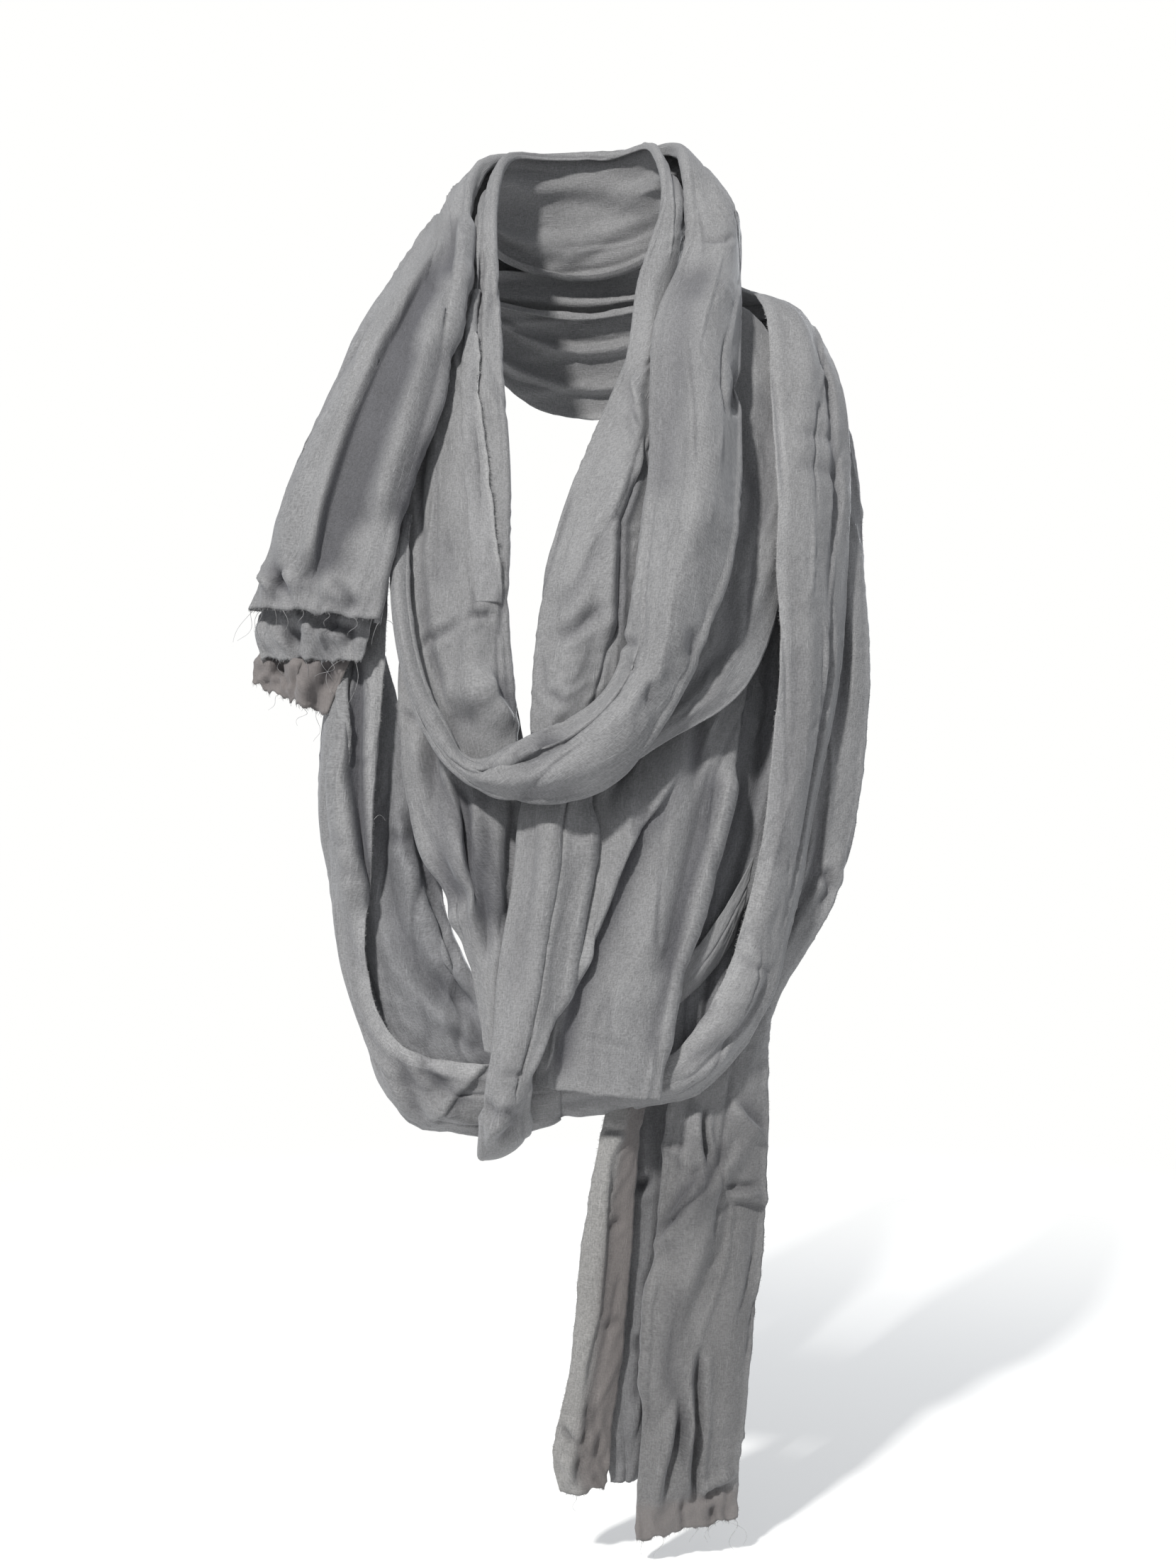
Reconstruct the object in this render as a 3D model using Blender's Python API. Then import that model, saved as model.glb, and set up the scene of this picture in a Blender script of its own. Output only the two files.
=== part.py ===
"""One long grey cloth wound round the neck, with its loops, knot, pleats and tail hanging in front.

Every stretch is a band: a wall of cloth carried along a path. A row of a path gives the two edges
of the band at one place (inner edge, then outer edge, in millimetres) and how far the middle of the
cloth stands out from the straight line between them. The folds of a path are bumps and valleys that
run along it. Lengths in the tables are millimetres, the scene is in metres.
"""

import bpy
import numpy as np

MM = 0.001
# Thickness of a wall, and the gap between two stretches of one path.
WALL = 1.6
SEAM_GAP = 0.7
# How far the selvedge strip's middle stands off its host's middle, and its points across.
STRIP_LIFT = 2.6
STRIP_COLUMNS = 5
# A rolled edge's radius is at most this share of the band's width.
EDGE_SHARE = 0.14
# Folds are lower on a band that is narrower than this, and an edge's return is shorter.
FULL_FOLD_WIDTH = 60.0
LEAST_RETURN = 0.3
# Points round a rolled edge, and half the step along the path that gives its direction.
ARC_STEPS = 2
HALF_STEP = 0.5

CLOTH = ("grey_cloth", (0.215, 0.228, 0.262), 0.78)
SHADED = ("shaded_cloth", (0.150, 0.162, 0.200), 0.82)
REVERSE = ("brownish_reverse", (0.235, 0.205, 0.190), 0.85)
SELVEDGE = ("raw_selvedge", (0.300, 0.310, 0.335), 0.80)

# Columns: inner edge x, y, z, outer edge x, y, z, bow.
PATHS = {
    # From the short end on the left front, over the nape, down the right, round the bottom to the left.
    "cowl": [
        (-127, -150, -316, -216, -112, -305, 8),
        (-120, -149, -278, -205, -106, -273, 10),
        (-111, -144, -243, -194, -96, -237, 12),
        (-96, -132, -191, -173, -72, -174, 14),
        (-87, -110, -143, -152, -38, -114, 14),
        (-82, -80, -94, -132, -5, -67, 12),
        (-80, -38, -46, -113, 32, -24, 10),
        (-82, 6, 0, -107, 58, -20, 8),
        (-74, 54, 40, -92, 88, -28, 6),
        (-41, 92, 54, -50, 112, -40, 5),
        (0, 102, 58, 0, 121, -44, 5),
        (41, 92, 58, 52, 112, -38, 5),
        (72, 56, 52, 95, 86, -22, 6),
        (78, 16, 33, 113, 48, -14, 8),
        (80, -10, -4, 117, 6, -46, 10),
        (78, -26, -40, 114, -34, -86, 12),
        (60, -58, -84, 110, -72, -130, 14),
        (49, -92, -143, 108, -110, -189, 16),
        (46, -122, -205, 104, -141, -242, 16),
        (40, -147, -259, 97, -162, -283, 16),
        (34, -162, -305, 86, -173, -313, 16),
        (24, -172, -349, 69, -180, -353, 14),
        (1, -179, -375, 45, -185, -395, 14),
        (-24, -180, -388, 20, -186, -421, 12),
        (-45, -179, -397, -15, -185, -432, 10),
        (-60, -176, -404, -45, -181, -430, 7),
        (-72, -170, -400, -70, -174, -418, 4),
        (-80, -168, -386, -88, -170, -398, 4),
        (-91, -163, -366, -102, -163, -374, 4),
        (-100, -158, -341, -112, -157, -345, 4),
        (-106, -152, -310, -118, -150, -310, 4),
        (-108, -139, -278, -120, -136, -278, 3),
        (-106, -124, -245, -115, -121, -245, 2),
    ],
    # From the crossing at the cowl's bottom up the left, over the nape, down the right inside the cowl.
    "collar": [
        (-38, -162, -398, -66, -159, -412, 2),
        (-39, -160, -372, -84, -154, -384, 6),
        (-42, -156, -341, -100, -146, -345, 8),
        (-44, -151, -305, -109, -138, -309, 8),
        (-44, -141, -254, -113, -118, -264, 8),
        (-45, -126, -206, -110, -104, -210, 8),
        (-50, -98, -146, -96, -82, -150, 7),
        (-55, -62, -86, -81, -49, -96, 5),
        (-60, -28, -33, -74, -12, -48, 4),
        (-60, 10, 10, -74, 30, -18, 4),
        (-53, 46, 40, -66, 68, -26, 4),
        (-31, 74, 48, -37, 88, -36, 4),
        (0, 82, 50, 0, 97, -40, 4),
        (31, 74, 50, 37, 88, -36, 4),
        (53, 46, 49, 67, 66, -22, 4),
        (60, 18, 32, 77, 32, -12, 4),
        (62, -8, 2, 77, 4, -18, 4),
        (55, -24, -34, 74, -12, -48, 5),
        (43, -44, -73, 68, -32, -83, 5),
        (36, -70, -123, 62, -56, -123, 6),
        (17, -98, -177, 60, -79, -178, 8),
        (-5, -124, -232, 57, -109, -234, 9),
        (-18, -141, -279, 50, -134, -286, 9),
        (-26, -154, -327, 40, -147, -332, 9),
        (-29, -161.5, -366, 20, -158.5, -370, 7),
        (-29, -166.5, -388, -4, -165.5, -393, 4),
    ],
    # From the knot round the left of the long loop, over the nape, and down its right side to the knot.
    "loop": [
        (-12, -150, -598, -10, -146, -637, 6),
        (-56, -150, -598, -56, -145, -648, 6),
        (-81, -148, -596, -84, -139, -645, 8),
        (-106, -146, -590, -111, -130, -637, 10),
        (-122, -142, -575, -126, -118, -606, 10),
        (-132, -140, -551, -143, -105, -559, 10),
        (-135, -138, -513, -155, -100, -518, 10),
        (-132, -136, -472, -165, -98, -476, 10),
        (-130, -134, -426, -170, -98, -427, 10),
        (-127, -130, -381, -169, -96, -380, 9),
        (-125, -122, -340, -165, -86, -338, 8),
        (-124, -112, -298, -162, -74, -295, 6),
        (-121, -98, -250, -158, -58, -245, 6),
        (-112, -76, -186, -146, -30, -179, 6),
        (-102, -46, -123, -130, 2, -118, 6),
        (-94, -10, -82, -118, 38, -84, 6),
        (-86, 32, -54, -108, 70, -82, 6),
        (-66, 69.9, -40, -82, 99.9, -98, 5),
        (-36, 91.9, -34, -42, 116.9, -112, 5),
        (0, 98.9, -33, 0, 123.9, -118, 5),
        (40, 91.9, -32, 50, 116.9, -110, 5),
        (80, 67.9, -38, 106, 94.9, -98, 5),
        (114, 34, -60, 146, 58, -86, 6),
        (132, 2, -78, 164, 30, -88, 7),
        (139, -26, -98, 174, 6, -104, 8),
        (138, -50, -136, 184, -26, -142, 8),
        (138, -80, -190, 187, -45, -184, 8),
        (137, -105, -240, 187, -60, -225, 8),
        (134, -118, -279, 183, -75, -274, 8),
        (131, -128, -326, 178, -90, -323, 8),
        (128, -134, -372, 171, -100, -370, 8),
        (124, -138, -408, 163, -105, -408, 8),
        (120, -140, -444, 156, -110, -440, 8),
        (114, -142, -476, 148, -115, -487, 8),
        (102, -146, -521, 138, -120, -523, 8),
        (89, -150, -552, 129, -125, -555, 10),
        (72, -152, -579, 110, -132, -585, 10),
        (57, -152, -593, 80, -142, -616, 8),
        (30, -151, -598, 43, -146, -628, 6),
        (-11.5, -150, -598, -9.5, -146, -637, 6),
    ],
    # From under the loop at the back, over the right shoulder and down to the hem of the tail.
    "tail": [
        (-76, 60, -58, -82, 78, -90, 3),
        (-40, 88, -62, -44, 103, -128, 4),
        (0, 96, -66, 0, 110, -142, 5),
        (44, 87, -62, 58, 102, -136, 5),
        (84, 62, -66, 114, 78, -118, 5),
        (118, 24, -92, 152, 44, -116, 5),
        (138, -8, -128, 176, 18, -130, 5),
        (144, -30, -164, 190, 0, -164, 6),
        (146, -56, -226, 195, -22, -216, 7),
        (144, -78, -300, 197, -48, -296, 7),
        (136, -92, -371, 196, -66, -365, 7),
        (126, -100, -426, 189, -76, -422, 7),
        (112, -106, -477, 178, -84, -474, 7),
        (95, -114, -523, 152, -97, -529, 7),
        (78, -119, -569, 128, -108, -570, 7),
        (62, -125, -615, 125, -119, -615, 8),
        (56, -126, -664, 124, -120, -665, 8),
        (51, -129, -719, 121, -124, -720, 8),
        (46, -130, -774, 114, -126, -775, 8),
        (42, -129, -829, 109, -125, -830, 8),
        (38, -127, -876, 105, -124, -872, 6),
        (38, -125, -907, 104, -122, -898, 4),
    ],
    "tail_strip": [
        (30, -130, -594, 52, -128, -592, 3),
        (16, -137, -641, 42, -132, -637, 4),
        (10, -136, -672, 38, -130, -671, 5),
        (3, -137, -713, 35, -131, -712, 5),
        (-1, -137, -759, 31, -131, -760, 5),
        (-6, -136, -804, 27, -130, -806, 5),
        (-13, -134, -837, 22, -129, -839, 5),
        (-14, -132, -860, 20, -128, -864, 4),
        (-9, -130, -876, 18, -128, -875, 3),
    ],
    "tail_middle": [
        (28, -116.5, -600, 66, -112.5, -600, 3),
        (24, -118.5, -660, 58, -115.5, -660, 3),
        (20, -120.5, -730, 54, -117.5, -730, 4),
        (18, -120.5, -800, 50, -117.5, -800, 4),
        (20, -119.5, -850, 46, -116.5, -850, 4),
        (22, -118.5, -874, 40, -116.5, -872, 3),
    ],
    "under_cowl": [
        (100, -6, -78, 130, -10, -96, 3),
        (96, -34, -128, 142, -36, -130, 4),
        (92, -70, -194, 145, -64, -192, 5),
        (88, -102, -253, 144, -90, -252, 6),
        (78, -128, -300, 134, -110, -299, 6),
        (62, -148, -341, 118, -132, -341, 6),
        (43, -163.8, -373, 99, -153.8, -367, 5),
        (21, -168.8, -393, 67, -164.8, -388, 4),
        (0, -170.8, -406, 32, -170.8, -408, 3),
        (-13, -171.8, -415, 8, -172.8, -422, 2),
    ],
    "pleats_right": [
        (42, -117, -327, 114, -104, -322, 5),
        (16, -130, -386, 107, -124, -372, 6),
        (1, -142, -431, 98, -140, -417, 8),
        (-5, -148, -471, 87, -146, -462, 10),
        (-11, -152, -511, 75, -152, -505, 10),
        (-17, -157, -551, 63, -157, -538, 11),
        (-22, -160.5, -584, 57, -162.5, -573, 11),
        (-26, -162.5, -610, 52, -165.5, -619, 8),
    ],
    "pleats_middle": [
        (34, -110, -270, 66, -108, -266, 3),
        (12, -128, -326, 48, -127, -322, 4),
        (-15, -145, -386, 28, -144, -381, 6),
        (-35, -157, -433, 10, -155, -428, 8),
        (-39, -164, -471, 5, -163, -469, 9),
        (-45, -171, -511, -2, -170, -508, 9),
        (-50, -177, -550, -8, -176, -548, 9),
        (-53, -182, -586, -16, -182, -581, 8),
        (-56, -181, -613, -27, -182, -612, 6),
        (-58, -173, -640, -31, -173, -637, 4),
        (-59, -154, -657.7, -35, -155, -653.7, 3),
        (-58, -134, -657.7, -36, -135, -653.7, 2),
    ],
    "pleats_left": [
        (-106, -94, -240, -57, -100, -240, 4),
        (-112, -112, -300, -52, -120, -300, 5),
        (-116, -123, -354, -43, -130, -354, 6),
        (-113, -130, -395, -33, -136, -399, 6),
        (-106, -136, -431, -31, -143, -431, 6),
        (-95, -145.4, -467, -33, -153.4, -467, 7),
        (-80, -152.4, -494, -35, -158.4, -502, 7),
        (-70, -159.4, -525, -42, -163.4, -533, 6),
        (-62, -163.4, -560, -46, -166.4, -565, 4),
        (-58, -166.4, -588, -48, -168.4, -590, 2),
    ],
    "inner_layer": [
        (-133, -110.4, -372, -124, -110.4, -370, 2),
        (-138, -112.4, -408, -113, -114.4, -412, 3),
        (-140, -114.4, -454, -101, -118.4, -452, 4),
        (-141, -117.4, -500, -84, -126.4, -503, 6),
        (-135, -122.4, -541, -66, -132.4, -546, 6),
        (-123, -128.4, -573, -50, -138.4, -578, 6),
        (-102, -135.4, -600, -46, -143.4, -604, 4),
    ],
    "shaded_pleats": [
        (106, -74, -256, 144, -68, -256, 3),
        (104, -92, -318, 142, -88, -318, 4),
        (97, -105, -371, 138, -100, -371, 4),
        (86, -116, -417, 132, -107, -413, 5),
        (76, -122, -463, 126, -114, -458, 5),
        (66, -126, -508, 116, -121, -504, 5),
        (56, -131, -548, 102, -126, -544, 5),
        (48, -137, -592, 84, -132, -588, 4),
    ],
    "second_layer": [
        (-200, -100.8, -292, -134, -130.8, -300, 3),
        (-210, -102.8, -316, -133, -134.8, -322, 4),
        (-207, -103.8, -338, -138, -134.8, -341, 3),
    ],
    "third_layer": [
        (-196, -93.2, -304, -146, -114.2, -314, 3),
        (-212, -94.2, -338, -148, -120.2, -341, 5),
        (-214, -94.2, -354, -163, -117.2, -375, 3),
    ],
    "corner_flap": [
        (114, -134, -466, 101, -132, -520, 1),
        (94, -140, -500, 86, -138, -540, 3),
        (74, -145, -526, 70, -144, -556, 3),
        (57, -148, -540, 55, -148, -566, 1),
    ],
}

# Columns: place across at the start, at the end, half width (all as shares of the width), height,
# and the rows of the path where the fold begins and ends.
FOLDS = {
    "cowl": [
        (0.42, 0.46, 0.13, -9, 0, 9),
        (0.16, 0.20, 0.14, 6, 0, 8),
        (0.74, 0.70, 0.18, 5, 0, 8),
        (0.30, 0.30, 0.14, -4, 8, 15),
        (0.66, 0.64, 0.16, -4, 8, 15),
        (0.20, 0.16, 0.12, -6, 14, 22),
        (0.55, 0.50, 0.16, -5, 14, 23),
        (0.86, 0.84, 0.10, -5, 14, 20),
        (0.30, 0.30, 0.12, 5, 20, 26),
        (0.55, 0.60, 0.14, -5, 20, 26),
    ],
    "collar": [
        (0.30, 0.34, 0.12, -6, 0.5, 8),
        (0.66, 0.60, 0.16, 5, 0.5, 8),
        (0.50, 0.50, 0.18, -4, 8, 17),
        (0.40, 0.55, 0.16, -6, 17, 24),
        (0.78, 0.80, 0.12, 4, 17, 24),
    ],
    "loop": [
        (0.50, 0.44, 0.16, -6, 1, 15),
        (0.24, 0.20, 0.13, 5, 1, 15),
        (0.30, 0.34, 0.14, -4, 15, 23),
        (0.68, 0.66, 0.15, -4, 15, 23),
        (0.24, 0.22, 0.11, -6, 23, 37),
        (0.52, 0.56, 0.12, 4, 23, 37),
        (0.80, 0.78, 0.11, -5, 23, 38),
    ],
    "tail": [
        (0.34, 0.34, 0.14, -4, 0, 6),
        (0.72, 0.70, 0.13, -4, 0, 7),
        (0.56, 0.60, 0.10, -5, 6, 14),
        (0.84, 0.80, 0.09, 4, 6, 14),
        (0.22, 0.26, 0.10, 5, 13, 21),
        (0.44, 0.48, 0.11, -6, 13, 21),
        (0.70, 0.68, 0.11, 5, 13, 21),
        (0.88, 0.86, 0.09, -5, 13, 21),
    ],
    "tail_strip": [(0.45, 0.50, 0.22, -5, 1, 8), (0.78, 0.74, 0.16, 4, 2, 8)],
    "tail_middle": [(0.40, 0.45, 0.22, -3, 0, 5), (0.72, 0.70, 0.18, 3, 1, 5)],
    "under_cowl": [(0.35, 0.45, 0.20, -4, 1, 7), (0.70, 0.66, 0.16, 3, 1, 7)],
    "pleats_right": [
        (0.20, 0.24, 0.09, -6, 1, 7),
        (0.10, 0.12, 0.08, 4, 1, 7),
        (0.44, 0.44, 0.12, -5, 0, 6.5),
        (0.74, 0.68, 0.15, 4, 0, 7),
        (0.92, 0.90, 0.08, -4, 0, 7),
    ],
    "pleats_middle": [
        (0.28, 0.30, 0.16, -4, 2, 9),
        (0.80, 0.76, 0.14, -5, 2, 9),
        (0.50, 0.50, 0.16, 3, 2, 9),
    ],
    "pleats_left": [
        (0.28, 0.36, 0.10, -6, 1, 8),
        (0.50, 0.56, 0.11, 5, 1, 8.5),
        (0.72, 0.76, 0.10, -6, 1, 8),
    ],
    "inner_layer": [
        (0.30, 0.26, 0.14, -5, 1, 6),
        (0.58, 0.52, 0.14, 4, 1, 6),
        (0.80, 0.78, 0.12, -5, 1, 6),
    ],
    "shaded_pleats": [(0.30, 0.30, 0.18, 4, 0, 7), (0.66, 0.66, 0.18, -5, 0, 7)],
    "second_layer": [(0.30, 0.34, 0.12, 4, 0, 2), (0.66, 0.62, 0.14, -4, 0, 2)],
    "third_layer": [(0.34, 0.30, 0.14, -4, 0, 2), (0.70, 0.66, 0.14, 4, 0, 2)],
    "corner_flap": [],
}

# Columns: radius, turn in degrees and return of the inner edge, then of the outer edge.
# A radius of nothing leaves the edge raw.
ROLLS = {
    "cowl": (4.0, 160, 5, 4.0, 160, 5),
    "collar": (2.6, 155, 3, 2.6, 155, 3),
    "loop": (0, 0, 0, 3.6, 160, 5),
    "tail": (2.6, 155, 3, 0, 0, 0),
    "tail_strip": (0, 0, 0, 0, 0, 0),
    "tail_middle": (0, 0, 0, 0, 0, 0),
    "under_cowl": (0, 0, 0, 0, 0, 0),
    "pleats_right": (2.6, 155, 3, 2.8, 160, 5),
    "pleats_middle": (2.8, 155, 4, 2.8, 155, 4),
    "pleats_left": (2.6, 155, 3, 0, 0, 0),
    "inner_layer": (0, 0, 0, 0, 0, 0),
    "shaded_pleats": (0, 0, 0, 0, 0, 0),
    "second_layer": (0, 0, 0, 0, 0, 0),
    "third_layer": (0, 0, 0, 0, 0, 0),
    "corner_flap": (0, 0, 0, 0, 0, 0),
}

# Columns: piece, path, first and last row of the path, points across, points along, material.
STRETCHES = [
    ("end_fall", "cowl", 0, 7, 15, 12, CLOTH),
    ("nape_middle", "cowl", 7, 13.5, 11, 12, CLOTH),
    ("cowl_right", "cowl", 13.5, 25, 15, 19, CLOTH),
    ("cowl_edge_left", "cowl", 25, 32, 5, 10, CLOTH),
    ("cowl_left", "collar", 0, 9, 13, 15, CLOTH),
    ("nape_inner", "collar", 9, 16, 8, 9, CLOTH),
    ("cowl_inner_right", "collar", 16, 25, 11, 13, CLOTH),
    ("loop_left", "loop", 0, 15, 11, 22, CLOTH),
    ("nape_outer", "loop", 15, 22.5, 10, 12, CLOTH),
    ("loop_right", "loop", 22.5, 39, 13, 23, CLOTH),
    ("nape_lowest", "tail", 0, 5, 10, 9, CLOTH),
    ("tail_shoulder", "tail", 5, 14, 13, 13, CLOTH),
    ("tail_wide", "tail", 14, 21, 15, 12, CLOTH),
    ("tail_strip", "tail_strip", 0, 8, 9, 11, REVERSE),
    ("tail_middle", "tail_middle", 0, 5, 8, 8, SHADED),
    ("under_cowl", "under_cowl", 0, 9, 9, 13, CLOTH),
    ("pleats_right", "pleats_right", 0, 7, 15, 12, CLOTH),
    ("pleats_middle", "pleats_middle", 0, 11, 10, 17, CLOTH),
    ("pleats_left", "pleats_left", 0, 9, 13, 12, CLOTH),
    ("inner_layer", "inner_layer", 0, 6, 11, 9, SHADED),
    ("shaded_pleats", "shaded_pleats", 0, 7, 9, 9, SHADED),
    ("second_layer", "second_layer", 0, 2, 10, 5, CLOTH),
    ("third_layer", "third_layer", 0, 2, 10, 5, REVERSE),
    ("corner_flap", "corner_flap", 0, 3, 6, 7, CLOTH),
]

# The raw selvedge lies on the outer side of the cowl's left limb.
# Columns: row of the path, shares of the width that it covers.
SELVEDGE_STRIP = [
    (2.98, 0.02, 0.25),
    (4.0, 0.11, 0.30),
    (5.0, 0.21, 0.37),
    (6.0, 0.34, 0.52),
    (6.5, 0.43, 0.60),
]


def spline(values, knots, at):
    """A smooth curve through the rows: cubic pieces whose bend runs on evenly from piece to piece."""
    values = np.asarray(values, float)
    step = np.diff(knots)
    count = len(knots)
    slope = np.diff(values, axis=0) / step[:, None]
    matrix = np.eye(count)
    right = np.zeros_like(values)
    for i in range(1, count - 1):
        matrix[i, i - 1] = step[i - 1]
        matrix[i, i] = 2.0 * (step[i - 1] + step[i])
        matrix[i, i + 1] = step[i]
        right[i] = 6.0 * (slope[i] - slope[i - 1])
    bend = np.linalg.solve(matrix, right)
    piece = np.clip(np.searchsorted(knots, at, side="right") - 1, 0, count - 2)
    width = step[piece][:, None]
    a = (knots[piece + 1] - at)[:, None] / width
    b = 1.0 - a
    line = a * values[piece] + b * values[piece + 1]
    return line + ((a**3 - a) * bend[piece] + (b**3 - b) * bend[piece + 1]) * width**2 / 6.0


def path_knots(rows):
    """Distance along the middle of the band at each row, so that the rows need not be evenly spaced."""
    table = np.asarray(rows, float)
    middle = (table[:, 0:3] + table[:, 3:6]) / 2.0
    steps = np.linalg.norm(np.diff(middle, axis=0), axis=1)
    return np.concatenate([[0.0], np.cumsum(steps)])


def smooth_step(value):
    value = np.clip(value, 0.0, 1.0)
    return value * value * (3.0 - 2.0 * value)


def fold_height(folds, share, row, last_row):
    """Sum of the folds: each is a rounded ridge or valley that runs along the band, with soft ends."""
    height = np.zeros(np.broadcast(share, row).shape)
    for at_start, at_end, half, tall, first, last in folds:
        run = np.clip((row - first) / (last - first), 0.0, 1.0)
        middle = at_start + (at_end - at_start) * run
        bump = np.cos(0.5 * np.pi * np.clip((share - middle) / half, -1.0, 1.0)) ** 2
        fade_in = smooth_step(row - first) if first > 0 else 1.0
        fade_out = smooth_step(last - row) if last < last_row else 1.0
        height = height + tall * bump * fade_in * fade_out
    return height


def band_points(name, share, roll, at):
    """Points of a band's middle surface.

    share runs across from the inner edge (0) to the outer edge (1). roll is 0 on the flat, and past
    an edge it runs to 1 round the rolled edge and to 2 along its return, below zero at the inner
    edge. at is the distance along the path.
    """
    rows = np.asarray(PATHS[name], float)
    knots = path_knots(rows)
    inner = spline(rows[:, 0:3], knots, at)
    outer = spline(rows[:, 3:6], knots, at)
    bow = spline(rows[:, 6:7], knots, at)
    middle = (rows[:, 0:3] + rows[:, 3:6]) / 2.0
    ahead = spline(middle, knots, np.minimum(at + HALF_STEP, knots[-1]))
    behind = spline(middle, knots, np.maximum(at - HALF_STEP, 0.0))
    across = outer - inner
    width = np.linalg.norm(across, axis=1, keepdims=True)
    across = across / width
    out = np.cross(ahead - behind, across)
    out /= np.linalg.norm(out, axis=1, keepdims=True)
    inner_radius, inner_turn, inner_back, outer_radius, outer_turn, outer_back = ROLLS[name]
    inner_radius = np.minimum(inner_radius, EDGE_SHARE * width)
    outer_radius = np.minimum(outer_radius, EDGE_SHARE * width)
    s = share[None, :]
    row = np.interp(at, knots, np.arange(len(knots)))[:, None]
    side = inner_radius + s * (width - inner_radius - outer_radius)
    soft = np.clip(width / FULL_FOLD_WIDTH, 0.0, 1.0)
    height = bow * (1.0 - (2.0 * s - 1.0) ** 2) + soft * fold_height(FOLDS[name], s, row, len(knots) - 1)
    past = np.abs(roll)[None, :]
    at_inner = roll[None, :] < 0.0
    radius = np.where(at_inner, inner_radius, outer_radius)
    limit = np.radians(np.where(at_inner, inner_turn, outer_turn))
    back = np.where(at_inner, inner_back, outer_back) * np.clip(width / FULL_FOLD_WIDTH, LEAST_RETURN, 1.0)
    angle = limit * np.minimum(past, 1.0)
    rest = back * np.maximum(past - 1.0, 0.0)
    side = side + np.sign(roll)[None, :] * (radius * np.sin(angle) + rest * np.cos(angle))
    height = height - radius * (1.0 - np.cos(angle)) - rest * np.sin(angle)
    return inner[:, None, :] + side[:, :, None] * across[:, None, :] + height[:, :, None] * out[:, None, :]


def across_places(name, count):
    """Places across a band: even on the flat, and a few more round each rolled edge."""
    share = list(np.linspace(0.0, 1.0, count))
    roll = [0.0] * count
    extra = [(k + 1) / ARC_STEPS for k in range(ARC_STEPS)] + [2.0]
    if ROLLS[name][0]:
        share = [0.0] * len(extra) + share
        roll = [-value for value in reversed(extra)] + roll
    if ROLLS[name][3]:
        share = share + [1.0] * len(extra)
        roll = roll + extra
    return np.array(share), np.array(roll)


def surface_normals(name, share, roll, at, points):
    """Which way the outer side of the cloth faces at each point of the grid."""
    total = path_knots(PATHS[name])[-1]
    ahead = band_points(name, share, roll, np.minimum(at + HALF_STEP, total))
    behind = band_points(name, share, roll, np.maximum(at - HALF_STEP, 0.0))
    side = np.gradient(points, axis=1)
    normal = np.cross(ahead - behind, side)
    return normal / np.linalg.norm(normal, axis=2, keepdims=True)


def wall_mesh(name, points, normal, thickness, material):
    """Close a grid of points into a wall of cloth of even thickness, its faces pointing outwards."""
    front = points + normal * thickness / 2.0
    back = points - normal * thickness / 2.0
    rows, columns = points.shape[:2]
    total = rows * columns
    index = np.arange(total).reshape(rows, columns)
    corners = [index[:-1, :-1], index[1:, :-1], index[1:, 1:], index[:-1, 1:]]
    quad = np.stack(corners, axis=-1).reshape(-1, 4)
    rim = np.concatenate([index[0, :-1], index[:-1, -1], index[-1, :0:-1], index[:0:-1, 0]])
    following = np.roll(rim, -1)
    edge = np.stack([rim, following, following + total, rim + total], axis=-1)
    faces = np.concatenate([quad, quad[:, [0, 3, 2, 1]] + total, edge])
    vertices = np.concatenate([front.reshape(-1, 3), back.reshape(-1, 3)]) * MM
    mesh = bpy.data.meshes.new(name)
    mesh.from_pydata(vertices.tolist(), [], faces.tolist())
    mesh.update()
    mesh.materials.append(material)
    piece = bpy.data.objects.new(name, mesh)
    bpy.context.scene.collection.objects.link(piece)
    return piece


def cloth_material(slot):
    name, colour, rough = slot
    material = bpy.data.materials.get(name)
    if material is None:
        material = bpy.data.materials.new(name)
        material.use_nodes = True
        shader = material.node_tree.nodes["Principled BSDF"]
        shader.inputs["Base Color"].default_value = (*colour, 1.0)
        shader.inputs["Roughness"].default_value = rough
        shader.inputs["Metallic"].default_value = 0.0
    return material


def places_along(name, first, last, count):
    """Distances along the path from one row to another, drawn in where a seam needs its gap."""
    knots = path_knots(PATHS[name])
    rows = np.arange(len(knots))
    start = np.interp(first, rows, knots)
    end = np.interp(last, rows, knots)
    if first > 0.0:
        start += SEAM_GAP / 2.0
    if last < len(knots) - 1:
        end -= SEAM_GAP / 2.0
    return np.linspace(start, end, count)


def build_stretch(name, path, first, last, across, along, slot):
    share, roll = across_places(path, across)
    at = places_along(path, first, last, along)
    points = band_points(path, share, roll, at)
    normal = surface_normals(path, share, roll, at, points)
    return wall_mesh(name, points, normal, WALL, cloth_material(slot))


def between(grid, place):
    """Points of a grid at places between its rows, on the straight line from row to row."""
    low = np.clip(np.floor(place).astype(int), 0, len(grid) - 2)
    part = (place - low)[:, None, None]
    return grid[low] * (1.0 - part) + grid[low + 1] * part


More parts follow.
